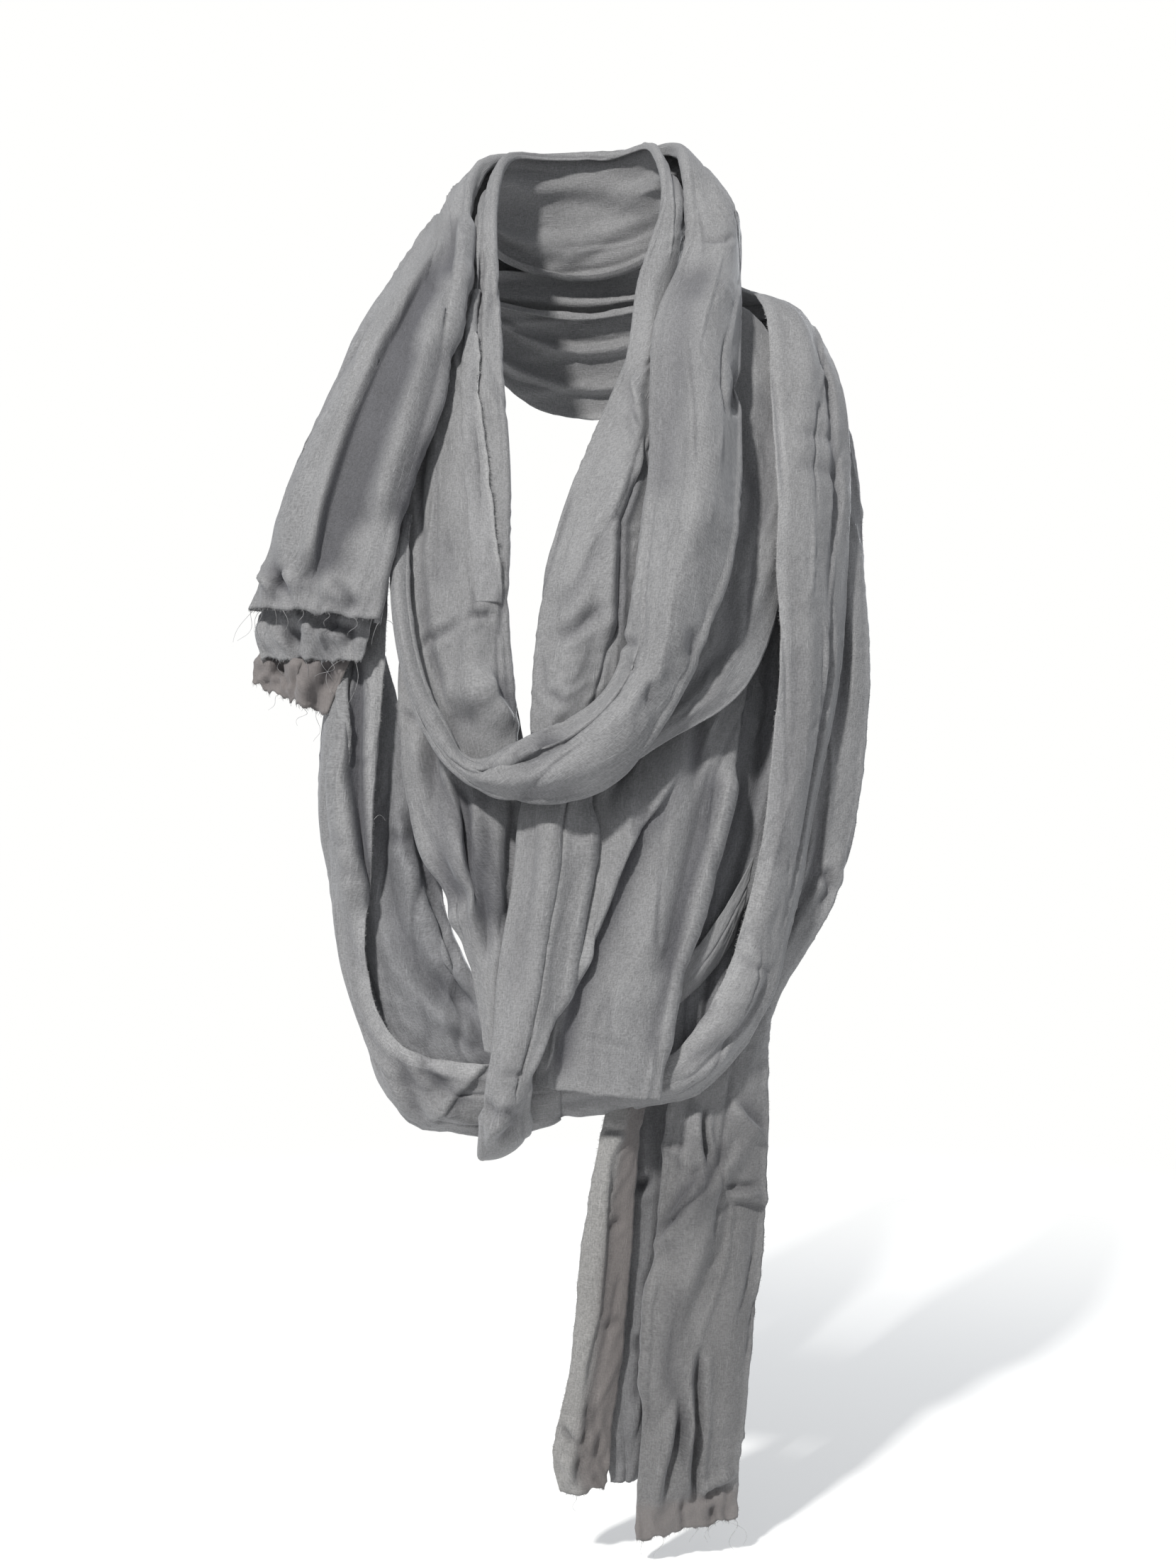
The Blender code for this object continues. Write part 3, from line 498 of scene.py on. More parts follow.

# Creases as the front shows them. Their points were read off the picture and turned into whole
# millimetres on the cloth before they were set down here. Columns: kind, width, height, then the
# line's points (x, z). An edge or a roll of plus width is high on the right hand of its run: the
# viewer's left of a line that is drawn downwards. Minus width is the other way round.
CREASES = {
    "cowl": [
        ("ridge", 16, 2.5, (-126, -109), (-149, -162), (-168, -207), (-187, -242), (-201, -268)),
        ("trough", 4, 3.2, (-195, -263), (-196, -280), (-187, -296), (-181, -309)),
        ("edge", -5, 3.2, (-206, -273), (-202, -287), (-194, -303)),
        ("ridge", 6, 1.8, (-171, -290), (-151, -298), (-133, -292)),
        ("trough", 6, 1.6, (-166, -300), (-148, -307), (-131, -303)),
        ("trough", 2.5, 2.3, (82, -41), (93, -44), (102, -44), (111, -35)),
        ("trough", 8, 2.1, (87, -58), (83, -84), (79, -103)),
        ("ridge", 12, 2, (70, -82), (62, -119), (59, -149)),
        ("ridge", 6, 2.1, (54, -312), (63, -328), (67, -343), (64, -361)),
        ("trough", 5, 3.9, (46, -355), (45, -367), (47, -376)),
        ("trough", 5, 2.6, (73, -320), (72, -333), (69, -346)),
        ("trough", 3, 2.6, (26, -330), (32, -332), (39, -331)),
        ("trough", 3, 2, (30, -345), (34, -348), (38, -348)),
        ("edge", 8, 3.9, (-62, -417), (-52, -408), (-38, -401), (-25, -394), (-17, -388), (-8, -380)),
        ("trough", 7.5, 2.6, (-43, -417), (-27, -404), (-13, -394), (-4, -381)),
        ("trough", 4, 2.6, (-24, -402), (-17, -394), (-9, -390)),
        ("ridge", 12, 2.6, (-30, -422), (-4, -417), (19, -405), (34, -390), (43, -375)),
        ("trough", 7, 2.1, (-48, -422), (-30, -427), (-7, -424), (11, -417)),
        ("roll", 26, 17,
         (-89, -31), (-106, -60), (-120, -95), (-132, -128), (-142, -157), (-152, -186),
         (-160, -213), (-167, -238), (-173, -264), (-178, -291)),
        ("trough", 12, 3.9, (-100, -128), (-117, -170), (-129, -203), (-139, -236), (-145, -268)),
        ("ridge", 15, 5,
         (-79, -62), (-88, -109), (-100, -151), (-110, -191), (-117, -225), (-121, -259)),
        ("trough", 6, 3.9, (-82, -121), (-91, -158), (-101, -198), (-111, -235), (-117, -265)),
        ("edge", -9, 6.5, (-78, -14), (-79, -53), (-79, -92)),
        ("ridge", 5, 2.9, (-200, -271), (-187, -283), (-180, -300)),
        ("trough", 4, 3.1, (-187, -280), (-194, -293), (-197, -306)),
        ("trough", 5, 3.1, (-173, -273), (-172, -290), (-176, -305)),
        ("ridge", 4, 2.1, (-167, -296), (-148, -301), (-132, -300)),
        ("trough", 12, 2.6, (76, -55), (68, -125), (58, -187), (51, -246)),
        ("ridge", 16, 3, (94, -68), (87, -142), (78, -208), (74, -267)),
        ("trough", 4, 5.2, (104, -138), (106, -156), (101, -181)),
        ("trough", 7, 5, (-80, -169), (-91, -206), (-100, -243), (-104, -281)),
        ("ridge", 12, 3.9, (-91, -94), (-101, -139), (-111, -179), (-121, -213), (-132, -255)),
        ("trough", 5, 2.5, (-93, -189), (-101, -217), (-110, -245), (-117, -277)),
        ("trough", 3, 3.1, (-206, -277), (-189, -290), (-179, -301)),
        ("ridge", 4, 3.4, (-192, -280), (-179, -294), (-175, -304)),
        ("trough", 3, 3.1, (-156, -290), (-145, -301), (-141, -312)),
    ],
    "collar": [
        ("trough", 2.5, 3.9, (-70, -314), (-60, -313), (-51, -314)),
        ("trough", 3, 2.6, (-69, -314), (-80, -321), (-93, -328), (-105, -337)),
        ("trough", 1.3, 0.8, (-73, -258), (-70, -279), (-65, -302), (-61, -315), (-56, -331)),
        ("edge", 10, 7.8, (-55, -342), (-57, -355), (-54, -366), (-45, -379), (-38, -390)),
        ("ridge", 12, 3.9, (-89, -363), (-70, -364), (-54, -371)),
        ("trough", 9, 3.2, (-83, -380), (-72, -379), (-59, -381)),
        ("trough", 5, 2.6, (-90, -373), (-80, -393), (-72, -404)),
        ("trough", 3, 3.9, (-75, -10), (-77, -49), (-79, -77)),
        ("trough", 3, 5.2, (-66, -48), (-68, -83), (-69, -128)),
        ("ridge", 7, 2.1, (-99, -257), (-93, -280), (-95, -301)),
        ("trough", 10, 2.1, (-85, -253), (-85, -279), (-92, -302)),
        ("edge", -4, 3.2, (36, -142), (38, -159), (42, -179), (42, -190)),
        ("edge", -4, 2.6, (34, -172), (37, -183), (41, -195)),
        ("trough", 3, 7.8, (37, -211), (30, -233), (24, -250), (23, -282), (22, -314), (22, -339)),
        ("roll", 9, 6,
         (44, -173), (37, -211), (30, -233), (24, -250), (23, -282), (22, -314), (22, -339)),
        ("trough", 4, 3.9, (20, -303), (10, -313), (0, -322), (-10, -327), (-21, -331)),
        ("trough", 4, 2, (19, -252), (14, -266), (9, -279), (2, -293), (-8, -305), (-18, -317)),
        ("trough", 3, 2.3, (-20, -359), (-13, -366), (-3, -372)),
        ("trough", 2, 1, (-21, -333), (-21, -353), (-20, -374)),
        ("ridge", 9, 2.1, (-5, -262), (-11, -285), (-18, -306)),
        ("ridge", 10, 2.3, (9, -329), (0, -342), (-11, -355)),
    ],
    "loop": [
        ("trough", 1.3, 0.6, (-140, -340), (-139, -398), (-136, -447)),
        ("trough", 2.5, 1.2, (-150, -406), (-139, -407), (-129, -405)),
        ("trough", 4, 1.3, (-163, -447), (-155, -457), (-143, -461)),
        ("trough", 4, 1.3, (-154, -471), (-146, -480), (-139, -484)),
        ("trough", 5, 4, (-120, -588), (-108, -606), (-94, -617), (-79, -619)),
        ("ridge", 6, 3, (-106, -642), (-95, -638), (-80, -627), (-68, -618)),
        ("trough", 4, 2.5, (-101, -597), (-89, -610), (-77, -616)),
        ("trough", 6, 1.5, (-148, -495), (-142, -526), (-133, -552)),
        ("ridge", 9, 1.5, (137, -273), (134, -323), (130, -364)),
        ("trough", 9, 1.8, (145, -322), (140, -384), (133, -435), (127, -486)),
        ("trough", 2.5, 1.6, (98, -526), (110, -535), (129, -542)),
        ("trough", 5, 1.1, (139, -183), (157, -185), (186, -187)),
        ("trough", 6, 1.4, (139, -206), (158, -209), (187, -214)),
        ("trough", 5, 2.2, (56, -579), (75, -570), (92, -556)),
        ("trough", 5, 2, (65, -596), (82, -591), (99, -577)),
        ("ridge", 8, 2, (60, -605), (79, -601), (102, -586)),
        ("trough", 5, 1.6, (-25, -629), (8, -621), (42, -619)),
        ("roll", 16, 10,
         (-150, -317), (-152, -352), (-153, -385), (-152, -417), (-148, -445), (-145, -467),
         (-141, -485), (-137, -508)),
        ("trough", 4, 2.5, (-101, -593), (-88, -608), (-72, -621), (-58, -625)),
        ("ridge", 5, 3, (-108, -597), (-94, -619), (-75, -632), (-58, -638)),
        ("trough", 4, 2.5, (-24, -629), (3, -639), (30, -637), (57, -628)),
        ("trough", 5, 7,
         (-145, -324), (-143, -362), (-143, -399), (-142, -435), (-139, -467), (-135, -504)),
        ("ridge", 7, 4, (-155, -394), (-153, -431), (-148, -467), (-143, -504), (-133, -549)),
        ("trough", 4, 3, (-114, -597), (-103, -625), (-92, -640)),
        ("edge", 6, 4, (-51, -584), (-55, -593), (-69, -608), (-84, -623), (-103, -640)),
    ],
    "tail": [
        ("trough", 3.3, 4.1, (163, -477), (167, -489), (158, -505)),
        ("trough", 3.3, 2.7, (156, -473), (161, -479), (171, -480)),
        ("ridge", 4.1, 2.7, (176, -459), (171, -476), (176, -489)),
        ("edge", -6.5, 7.5,
         (111, -647), (101, -663), (90, -678), (80, -688), (72, -699), (62, -711), (53, -719),
         (51, -725)),
        ("edge", 5.8, 5.6, (83, -671), (74, -683), (64, -694), (54, -705)),
        ("trough", 2, 6.8, (82, -624), (81, -645), (84, -658), (85, -669)),
        ("ridge", 6.6, 4.7, (76, -624), (76, -643), (78, -657)),
        ("edge", 5.8, 6.2, (97, -623), (106, -638), (114, -646), (124, -652)),
        ("ridge", 3.3, 4.1, (53, -650), (62, -656), (71, -663), (79, -671)),
        ("ridge", 3.3, 4.1, (91, -685), (101, -686), (114, -687), (121, -685)),
        ("trough", 2.5, 2.7, (90, -681), (101, -681), (121, -681)),
        ("trough", 2.9, 8.1, (79, -779), (77, -807), (77, -837), (75, -864), (76, -890)),
        ("ridge", 4.9, 6.1, (71, -809), (72, -840), (70, -865), (67, -890)),
        ("trough", 2.5, 4.7, (69, -814), (65, -838), (59, -863), (54, -888)),
        ("ridge", 4.1, 4.1, (59, -822), (56, -845), (51, -871), (50, -896)),
        ("ridge", 3.3, 4.6, (80, -878), (91, -871), (104, -867)),
        ("trough", 2.5, 3.5, (77, -886), (89, -878), (102, -874)),
        ("trough", 2.5, 3.2, (89, -885), (88, -892), (88, -901)),
        ("ridge", 9.8, 4.1, (53, -725), (48, -753), (45, -788), (45, -825)),
        ("trough", 8.2, 3.2, (65, -733), (62, -763), (60, -793), (62, -823)),
        ("ridge", 4.9, 2.2, (77, -737), (86, -734), (98, -732)),
        ("ridge", 11.5, 3.4, (101, -702), (100, -747), (97, -801), (96, -849)),
        ("edge", -6, 5, (87, -663), (77, -677), (69, -690), (61, -703)),
        ("ridge", 6, 2.4, (95, -691), (108, -688), (122, -692), (134, -691)),
        ("trough", 3, 2, (92, -694), (106, -691), (122, -696), (133, -695)),
        ("trough", 3, 3, (65, -800), (67, -823), (66, -847), (69, -872)),
        ("ridge", 5, 2.2, (72, -797), (75, -825), (75, -853)),
        ("trough", 3.5, 3, (107, -854), (116, -848), (126, -842)),
    ],
    "tail_middle": [
        ("trough", 4, 2.8, (33, -679), (42, -681), (52, -677)),
        ("trough", 4, 2.8, (39, -781), (40, -802), (36, -828)),
        ("trough", 3, 1.9, (44, -729), (48, -758), (44, -781)),
        ("edge", 5, 3, (37, -775), (41, -800), (39, -828), (36, -848)),
        ("trough", 3, 2.5, (35, -683), (44, -679), (51, -677)),
        ("ridge", 4, 2.5, (44, -635), (44, -660), (47, -675)),
        ("trough", 3, 3.8, (42, -775), (40, -781), (38, -791)),
    ],
    "pleats_left": [
        ("trough", 5, 3.9, (-91, -461), (-82, -482), (-69, -504)),
        ("ridge", 10, 2.6, (-61, -430), (-58, -481), (-56, -540)),
        ("trough", 3, 2, (-116, -372), (-105, -378), (-96, -375)),
        ("roll", 9, 12, (-84, -413), (-81, -435), (-79, -457), (-74, -479), (-67, -501), (-64, -515)),
        ("trough", 6, 6.5, (-98, -394), (-90, -431), (-87, -457), (-81, -483), (-73, -508)),
        ("ridge", 8, 5.2, (-108, -383), (-98, -420), (-91, -457), (-80, -494), (-69, -523)),
        ("ridge", 9, 5.2, (-62, -416), (-58, -449), (-55, -482), (-52, -515)),
        ("trough", 6, 5.2, (-42, -438), (-43, -468), (-47, -501), (-50, -529)),
        ("trough", 4, 3.9, (-73, -420), (-67, -449), (-61, -478)),
        ("trough", 5, 9.1, (-79, -408), (-75, -440), (-71, -471), (-65, -502)),
        ("trough", 4, 6.5, (-98, -376), (-90, -408), (-81, -440), (-74, -471)),
        ("ridge", 6, 6.5, (-89, -394), (-83, -426), (-76, -458), (-68, -489)),
        ("trough", 4, 6.5, (-56, -435), (-56, -466), (-57, -502), (-57, -537)),
    ],
    "shaded_pleats": [
        ("trough", 4, 4, (100, -418), (96, -442), (81, -486), (69, -529)),
        ("trough", 4, 3, (112, -406), (106, -435), (93, -476), (81, -514)),
    ],
    "inner_layer": [
        ("ridge", 6, 3.9, (-117, -445), (-117, -461), (-120, -481), (-113, -510), (-103, -531)),
        ("trough", 7, 5.2, (-94, -536), (-78, -557), (-60, -570)),
        ("trough", 5, 3.9, (-104, -440), (-96, -471), (-91, -495)),
        ("trough", 4, 3.2, (-122, -447), (-116, -458), (-105, -456)),
        ("ridge", 9, 2.8, (-110, -495), (-98, -524), (-81, -543), (-64, -557)),
        ("trough", 5, 3.2, (-83, -573), (-71, -586), (-56, -593)),
        ("trough", 6, 6, (-111, -431), (-103, -465), (-91, -495), (-74, -521), (-59, -547)),
        ("ridge", 9, 5, (-120, -420), (-113, -458), (-105, -491), (-88, -521), (-69, -547)),
        ("trough", 7, 6, (-128, -431), (-124, -469), (-116, -506), (-100, -539), (-77, -569)),
        ("ridge", 8, 4, (-128, -503), (-116, -537), (-96, -561), (-74, -583)),
    ],
    "under_cowl": [
        ("trough", 8, 2.6, (127, -139), (128, -182), (125, -224), (120, -265)),
        ("ridge", 6, 2.1, (120, -121), (119, -161), (116, -214)),
        ("trough", 4, 1.6, (101, -341), (79, -373), (55, -394), (36, -408)),
    ],
    "pleats_right": [
        ("edge", -30, 6,
         (99, -405), (93, -431), (86, -461), (75, -494), (67, -527), (60, -556), (55, -577),
         (53, -602)),
        ("roll", 16, 11,
         (75, -392), (60, -413), (46, -431), (34, -444), (27, -459), (20, -477), (14, -495),
         (8, -510), (1, -526), (-5, -541), (-11, -557), (-15, -575), (-19, -592), (-24, -607)),
        ("ridge", 22, 3,
         (84, -402), (78, -426), (69, -456), (59, -486), (50, -515), (44, -545), (41, -571)),
        ("trough", 2, 1, (-3, -576), (20, -581), (44, -588)),
        ("ridge", 3, 1.3, (-17, -607), (6, -612), (32, -616), (44, -618)),
        ("trough", 7, 3.9, (89, -399), (81, -428), (71, -468), (61, -507), (52, -548)),
        ("trough", 5, 3.9, (45, -429), (37, -441), (30, -455)),
    ],
    "second_layer": [
        ("ridge", 5, 4, (-208, -310), (-195, -318), (-187, -328)),
        ("edge", 4, 4, (-168, -309), (-160, -317), (-161, -332)),
        ("trough", 4, 4, (-189, -315), (-182, -323), (-183, -335)),
        ("trough", 4, 4, (-149, -311), (-146, -323), (-151, -334)),
        ("ridge", 4, 3, (-178, -328), (-163, -325), (-146, -321)),
        ("trough", 4, 4, (-196, -312), (-190, -320), (-179, -328)),
        ("ridge", 7, 4, (-184, -312), (-165, -322), (-143, -331)),
        ("trough", 3, 3.5, (-172, -312), (-158, -318), (-141, -322)),
        ("ridge", 5, 3, (-214, -315), (-204, -322), (-196, -332)),
    ],
    "third_layer": [
        ("trough", 4, 4, (-205, -330), (-198, -339), (-201, -351)),
        ("ridge", 5, 4, (-191, -334), (-179, -345), (-169, -351)),
        ("trough", 4, 3, (-165, -340), (-162, -351), (-169, -361)),
        ("edge", 4, 3, (-183, -343), (-175, -355), (-179, -368)),
        ("trough", 4, 4.5, (-183, -331), (-191, -340), (-199, -353)),
        ("ridge", 8, 4, (-173, -334), (-180, -346), (-173, -364)),
        ("trough", 4, 3.5, (-159, -332), (-162, -346), (-159, -360)),
        ("ridge", 5, 3, (-208, -335), (-200, -345), (-203, -354)),
    ],
    "pleats_middle": [
        ("edge", 6, 5.9,
         (8, -428), (7, -447), (5, -460), (5, -474), (1, -501), (-3, -525), (-7, -558),
         (-10, -570)),
        ("trough", 2.5, 5.2, (-6, -554), (-12, -573), (-18, -588), (-24, -600), (-28, -614)),
        ("trough", 2.2, 3.9, (-12, -567), (-17, -583), (-23, -597), (-30, -610)),
        ("trough", 7, 1.6, (-27, -438), (-28, -482), (-34, -526), (-38, -562)),
        ("ridge", 10, 2.9, (-15, -447), (-21, -491), (-26, -534), (-32, -571)),
        ("ridge", 3, 2.6, (6, -447), (2, -460), (3, -474)),
        ("trough", 2.5, 1.6, (-51, -600), (-39, -599), (-28, -599)),
        ("ridge", 4, 3.9, (-53, -620), (-42, -618), (-32, -622)),
        ("trough", 4, 4.5, (-34, -619), (-40, -633), (-50, -644)),
        ("ridge", 3, 3.9, (-43, -617), (-50, -633), (-58, -648)),
        ("trough", 4, 3, (-62, -615), (-50, -623), (-30, -618)),
        ("ridge", 5, 2.5, (-64, -626), (-50, -633), (-32, -627)),
    ],
    "tail_strip": [
        ("edge", 6, 3, (21, -649), (17, -691), (16, -723), (13, -756), (4, -792), (2, -815)),
        ("trough", 2.5, 3.2, (15, -642), (24, -643), (32, -642)),
        ("ridge", 3, 2.5, (14, -646), (22, -645), (33, -644)),
        ("trough", 3, 2.5, (18, -705), (24, -702), (31, -699)),
        ("trough", 3, 2.5, (17, -772), (24, -765), (30, -763)),
        ("trough", 2.2, 3.8, (7, -813), (7, -828), (4, -839), (3, -849)),
        ("trough", 2.2, 3.2, (11, -814), (11, -828), (9, -839)),
        ("trough", 2.4, 3.2, (16, -834), (13, -843), (11, -854)),
        ("trough", 2.4, 3, (-11, -828), (-5, -839), (3, -845)),
        ("trough", 2.4, 3.2, (2, -850), (0, -864), (-1, -873)),
        ("ridge", 4, 3, (3, -850), (10, -843), (18, -835)),
    ],
}

# Columns: path, nodes that the shell stands for, first and last row of its hidden stretch, seed,
# height of the long waves, height of the small wrinkles.
SHELLS = {
    "cowl_shell": (
        "cowl", ("end_fall", "nape_middle", "cowl_right", "cowl_edge_left"), 7.0, 13.5, 11, 0.9, 0.5,
    ),
    "collar_shell": ("collar", ("cowl_left", "nape_inner", "cowl_inner_right"), 9.0, 16.0, 12, 0.8, 0.5),
    "loop_shell": ("loop", ("loop_left", "nape_outer", "loop_right"), 16.0, 22.0, 13, 0.8, 0.4),
    "tail_shell": ("tail", ("nape_lowest", "tail_shoulder", "tail_wide"), 0.0, 6.0, 14, 0.9, 0.5),
    "tail_strip_shell": ("tail_strip", ("tail_strip",), 0, 0, 15, 0.8, 0.6),
    "tail_middle_shell": ("tail_middle", ("tail_middle",), 0, 0, 16, 0.6, 0.4),
    "under_cowl_shell": ("under_cowl", ("under_cowl",), 0, 0, 17, 0.8, 0.4),
    "pleats_right_shell": ("pleats_right", ("pleats_right",), 0, 0, 18, 0.6, 0.4),
    "pleats_middle_shell": ("pleats_middle", ("pleats_middle",), 0, 0, 19, 0.5, 0.3),
    "pleats_left_shell": ("pleats_left", ("pleats_left",), 0, 0, 20, 0.7, 0.4),
    "inner_layer_shell": ("inner_layer", ("inner_layer",), 0, 0, 21, 1.0, 0.6),
    "shaded_pleats_shell": ("shaded_pleats", ("shaded_pleats",), 0, 0, 22, 0.8, 0.4),
    "second_layer_shell": ("second_layer", ("second_layer",), 0, 0, 23, 1.0, 1.0),
    "third_layer_shell": ("third_layer", ("third_layer",), 0, 0, 24, 1.0, 1.0),
    "corner_flap_shell": ("corner_flap", ("corner_flap",), 0, 0, 25, 0.4, 0.3),
}

# Strip on the collar, columns: row of the collar's path, place of its two sides across the collar.
SELVEDGE_STRIP = [
    (2.98, 0.02, 0.25),
    (4.0, 0.08, 0.30),
    (5.0, 0.16, 0.37),
    (6.0, 0.28, 0.52),
    (6.6, 0.38, 0.62),
    (7.1, 0.46, 0.68),
]
STRIP_COLUMNS = 19
STRIP_ROWS = 140
# Height of the strip above the collar at its flat side and at its raw side, how it curves up between
# them, and the share of its length over which the lower end rises from the share that follows.
STRIP_LOW = 0.2
STRIP_LIFT = 2.6
STRIP_CURVE = 0.7
STRIP_SOFT = 0.06
STRIP_END = 0.35
# Small waves of the strip and the sway of its two raw sides. Columns: height, seed, wave lengths.
STRIP_WAVES = (0.22, 71, (9.0, 24.0), (30.0, 90.0))
STRIP_SWAY = (0.3, 72, (8.0, 40.0))
# Width of the pale threads along its raw side, how sharply they and the sway keep to the sides, and
# the seed of its fibres.
STRIP_PALE = 2.6
STRIP_SHARP = 4
STRIP_FIBRE_SEED = 990

# Hems that are cut and not turned in: how far they go in and out at the start and at the end.
RAW_HEMS = {
    "cowl": (1.3, 0.0),
    "tail": (0.0, 1.6),
    "tail_strip": (0.6, 2.4),
    "tail_middle": (0.0, 1.4),
    "second_layer": (0.0, 1.6),
    "third_layer": (0.0, 2.6),
    "pleats_right": (0.0, 0.5),
    "inner_layer": (0.8, 0.0),
}

# Crumpled cloth near a hem: height, and how far it reaches from the start and from the end.
CRUMPLED = {
    "cowl": (1.3, 20.0, 0.0),
    "tail": (1.6, 0.0, 30.0),
    "tail_strip": (1.8, 0.0, 44.0),
    "tail_middle": (1.4, 0.0, 26.0),
    "second_layer": (1.5, 60.0, 60.0),
    "third_layer": (1.9, 70.0, 70.0),
}

# Width of the pale, denser selvedge along the inner and the outer edge.
SELVEDGES = {
    "loop": (7.0, 0.0),
    "tail": (0.0, 5.0),
    "tail_strip": (14.0, 0.0),
    "tail_middle": (0.0, 3.0),
    "inner_layer": (3.0, 4.0),
    "under_cowl": (0.0, 2.0),
}

# Where the cloth is thin and brownish: from this distance before the end, over this length, how
# much, and from which share of the width.
SHEER_HEMS = {
    "tail": (26.0, 9.0, 1.0, -1.0),
    "third_layer": (60.0, 20.0, 0.7, -1.0),
    "tail_strip": (250.0, 40.0, 0.5, 0.45),
}

# Where a single layer shows, darker than cloth with more layers behind it, and partly painted shade
# on the lower ends of the tail and its strips: from this distance before the end of the path, over
# this length, and how much.
SINGLE_LAYER_AND_SHADE = {
    "tail": (330.0, 110.0, 1.0),
    "tail_middle": (400.0, 10.0, 1.0),
    "tail_strip": (200.0, 60.0, 0.3),
}

# Raw edges with fibres. Columns: edge, first and last row of the path, fibres a millimetre, longest.
# The rows bound the inner and outer edges only.
FIBRE_EDGES = {
    "cowl": (("start", 0, LAST_ROW, 1.6, 2.6), ("outer", 0, 0.6, 1.0, 2.0)),
    "loop": (("inner", 2, 15, 1.3, 1.8), ("inner", 22, 35, 1.3, 1.8)),
    "tail": (("outer", 7, 21, 1.1, 1.8), ("end", 0, LAST_ROW, 2.2, 3.4)),
    "tail_strip": (("inner", 0, 8, 1.5, 2.2), ("end", 0, LAST_ROW, 2.2, 3.0)),
    "tail_middle": (("outer", 0, 5, 0.6, 1.2), ("end", 0, LAST_ROW, 1.8, 2.6)),
    "second_layer": (("end", 0, LAST_ROW, 2.0, 2.6),),
    "third_layer": (("end", 0, LAST_ROW, 2.2, 3.2), ("outer", 0, 3, 1.6, 3.0)),
    "inner_layer": (("inner", 0, 6, 0.7, 1.4), ("outer", 0, 6, 0.5, 1.2)),
    "under_cowl": (("outer", 1, 8, 0.6, 1.2),),
    "pleats_right": (("end", 0, LAST_ROW, 0.7, 0.9),),
    "selvedge_strip": (
        ("inner", 0, LAST_ROW, 3.4, 2.8),
        ("end", 0, LAST_ROW, 1.2, 1.8),
        ("start", 0, LAST_ROW, 1.5, 2.2),
    ),
}
# Fibres: shortest, the power that keeps most of them short, curl, droop, points and radius.
FIBRE_SHORTEST = 0.4
FIBRE_SPREAD = 2.2
FIBRE_CURL = 0.7
FIBRE_DROOP = 0.2
FIBRE_POINTS = 4
FIBRE_RADIUS = 0.13
# Loose threads: droop, points and radius.
THREAD_DROOP = 1.4
THREAD_POINTS = 22
THREAD_RADIUS = 0.19
# Both: how fast they sway, how far they lean to a side, their sway up and down against that to the
# sides, how deep the root is in the cloth in steps, the sides of the tube, and its tip's radius.
SWAY_RATE = (2.0, 7.0)
SIDE_LEAN = 0.8
UP_SWAY = 0.45
ROOT_DEPTH = 1.2
TUBE_SIDES = 3
TIP_SHARE = 0.45
# A slanting way from which the tubes' cross-sections are laid out.
OFF_AXIS = (0.31, 0.24, 0.92)

# Loose threads. Columns: path, edge, share of the edge's length, length, and how much it curls.
LOOSE_THREADS = [
    ("cowl", "start", 0.98, 34, 1.2),
    ("cowl", "start", 0.93, 26, 1.6),
    ("cowl", "start", 0.86, 30, 0.9),
    ("cowl", "start", 0.80, 22, 2.2),
    ("cowl", "start", 0.71, 14, 1.0),
    ("cowl", "start", 0.64, 20, 2.4),
    ("cowl", "start", 0.36, 12, 1.8),
    ("cowl", "start", 0.22, 16, 2.0),
    ("cowl", "start", 0.52, 12, 1.4),
    ("cowl", "start", 0.08, 18, 0.8),
    ("second_layer", "end", 0.95, 38, 1.3),
    ("second_layer", "end", 0.82, 30, 1.8),
    ("second_layer", "end", 0.72, 22, 2.6),
    ("second_layer", "end", 0.60, 16, 1.2),
    ("second_layer", "end", 0.44, 14, 2.2),
    ("second_layer", "end", 0.20, 12, 1.8),
    ("third_layer", "end", 0.90, 24, 1.6),
    ("third_layer", "end", 0.74, 18, 2.4),
    ("third_layer", "end", 0.35, 14, 1.2),
    ("tail", "end", 0.97, 30, 2.2),
    ("tail", "end", 0.90, 26, 2.6),
    ("tail", "end", 0.84, 18, 2.8),
    ("tail", "end", 0.72, 14, 2.4),
    ("tail", "end", 0.62, 12, 1.2),
    ("tail", "end", 0.30, 16, 1.6),
    ("tail", "end", 0.12, 12, 1.2),
    ("tail_strip", "end", 0.30, 14, 1.6),
    ("loop", "inner", 0.235, 16, 1.0),
    ("loop", "inner", 0.155, 12, 1.2),
]


def spline(values, knots, at):
    """A smooth curve through the rows: cubic pieces whose bend runs on evenly from piece to piece."""
    values = np.asarray(values, float)
    step = np.diff(knots)
    count = len(knots)
    slope = np.diff(values, axis=0) / step[:, None]
    matrix = np.eye(count)
    right = np.zeros_like(values)
    for i in range(1, count - 1):
        matrix[i, i - 1] = step[i - 1]
        matrix[i, i] = 2.0 * (step[i - 1] + step[i])
        matrix[i, i + 1] = step[i]
        right[i] = 6.0 * (slope[i] - slope[i - 1])
    bend = np.linalg.solve(matrix, right)
    piece = np.clip(np.searchsorted(knots, at, side="right") - 1, 0, count - 2)
    width = step[piece][:, None]
    a = (knots[piece + 1] - at)[:, None] / width
    b = 1.0 - a
    line = a * values[piece] + b * values[piece + 1]
    return line + ((a**3 - a) * bend[piece] + (b**3 - b) * bend[piece + 1]) * width**2 / 6.0


def path_knots(rows):
    """Distance along the middle of the band at each row, so that the rows need not be evenly spaced."""
    table = np.asarray(rows, float)
    middle = (table[:, 0:3] + table[:, 3:6]) / 2.0
    steps = np.linalg.norm(np.diff(middle, axis=0), axis=1)
    return np.concatenate([[0.0], np.cumsum(steps)])


def path_width(path):
    """Widest row of a path."""
    rows = np.asarray(PATHS[path], float)
    return np.linalg.norm(rows[:, 3:6] - rows[:, 0:3], axis=1).max()


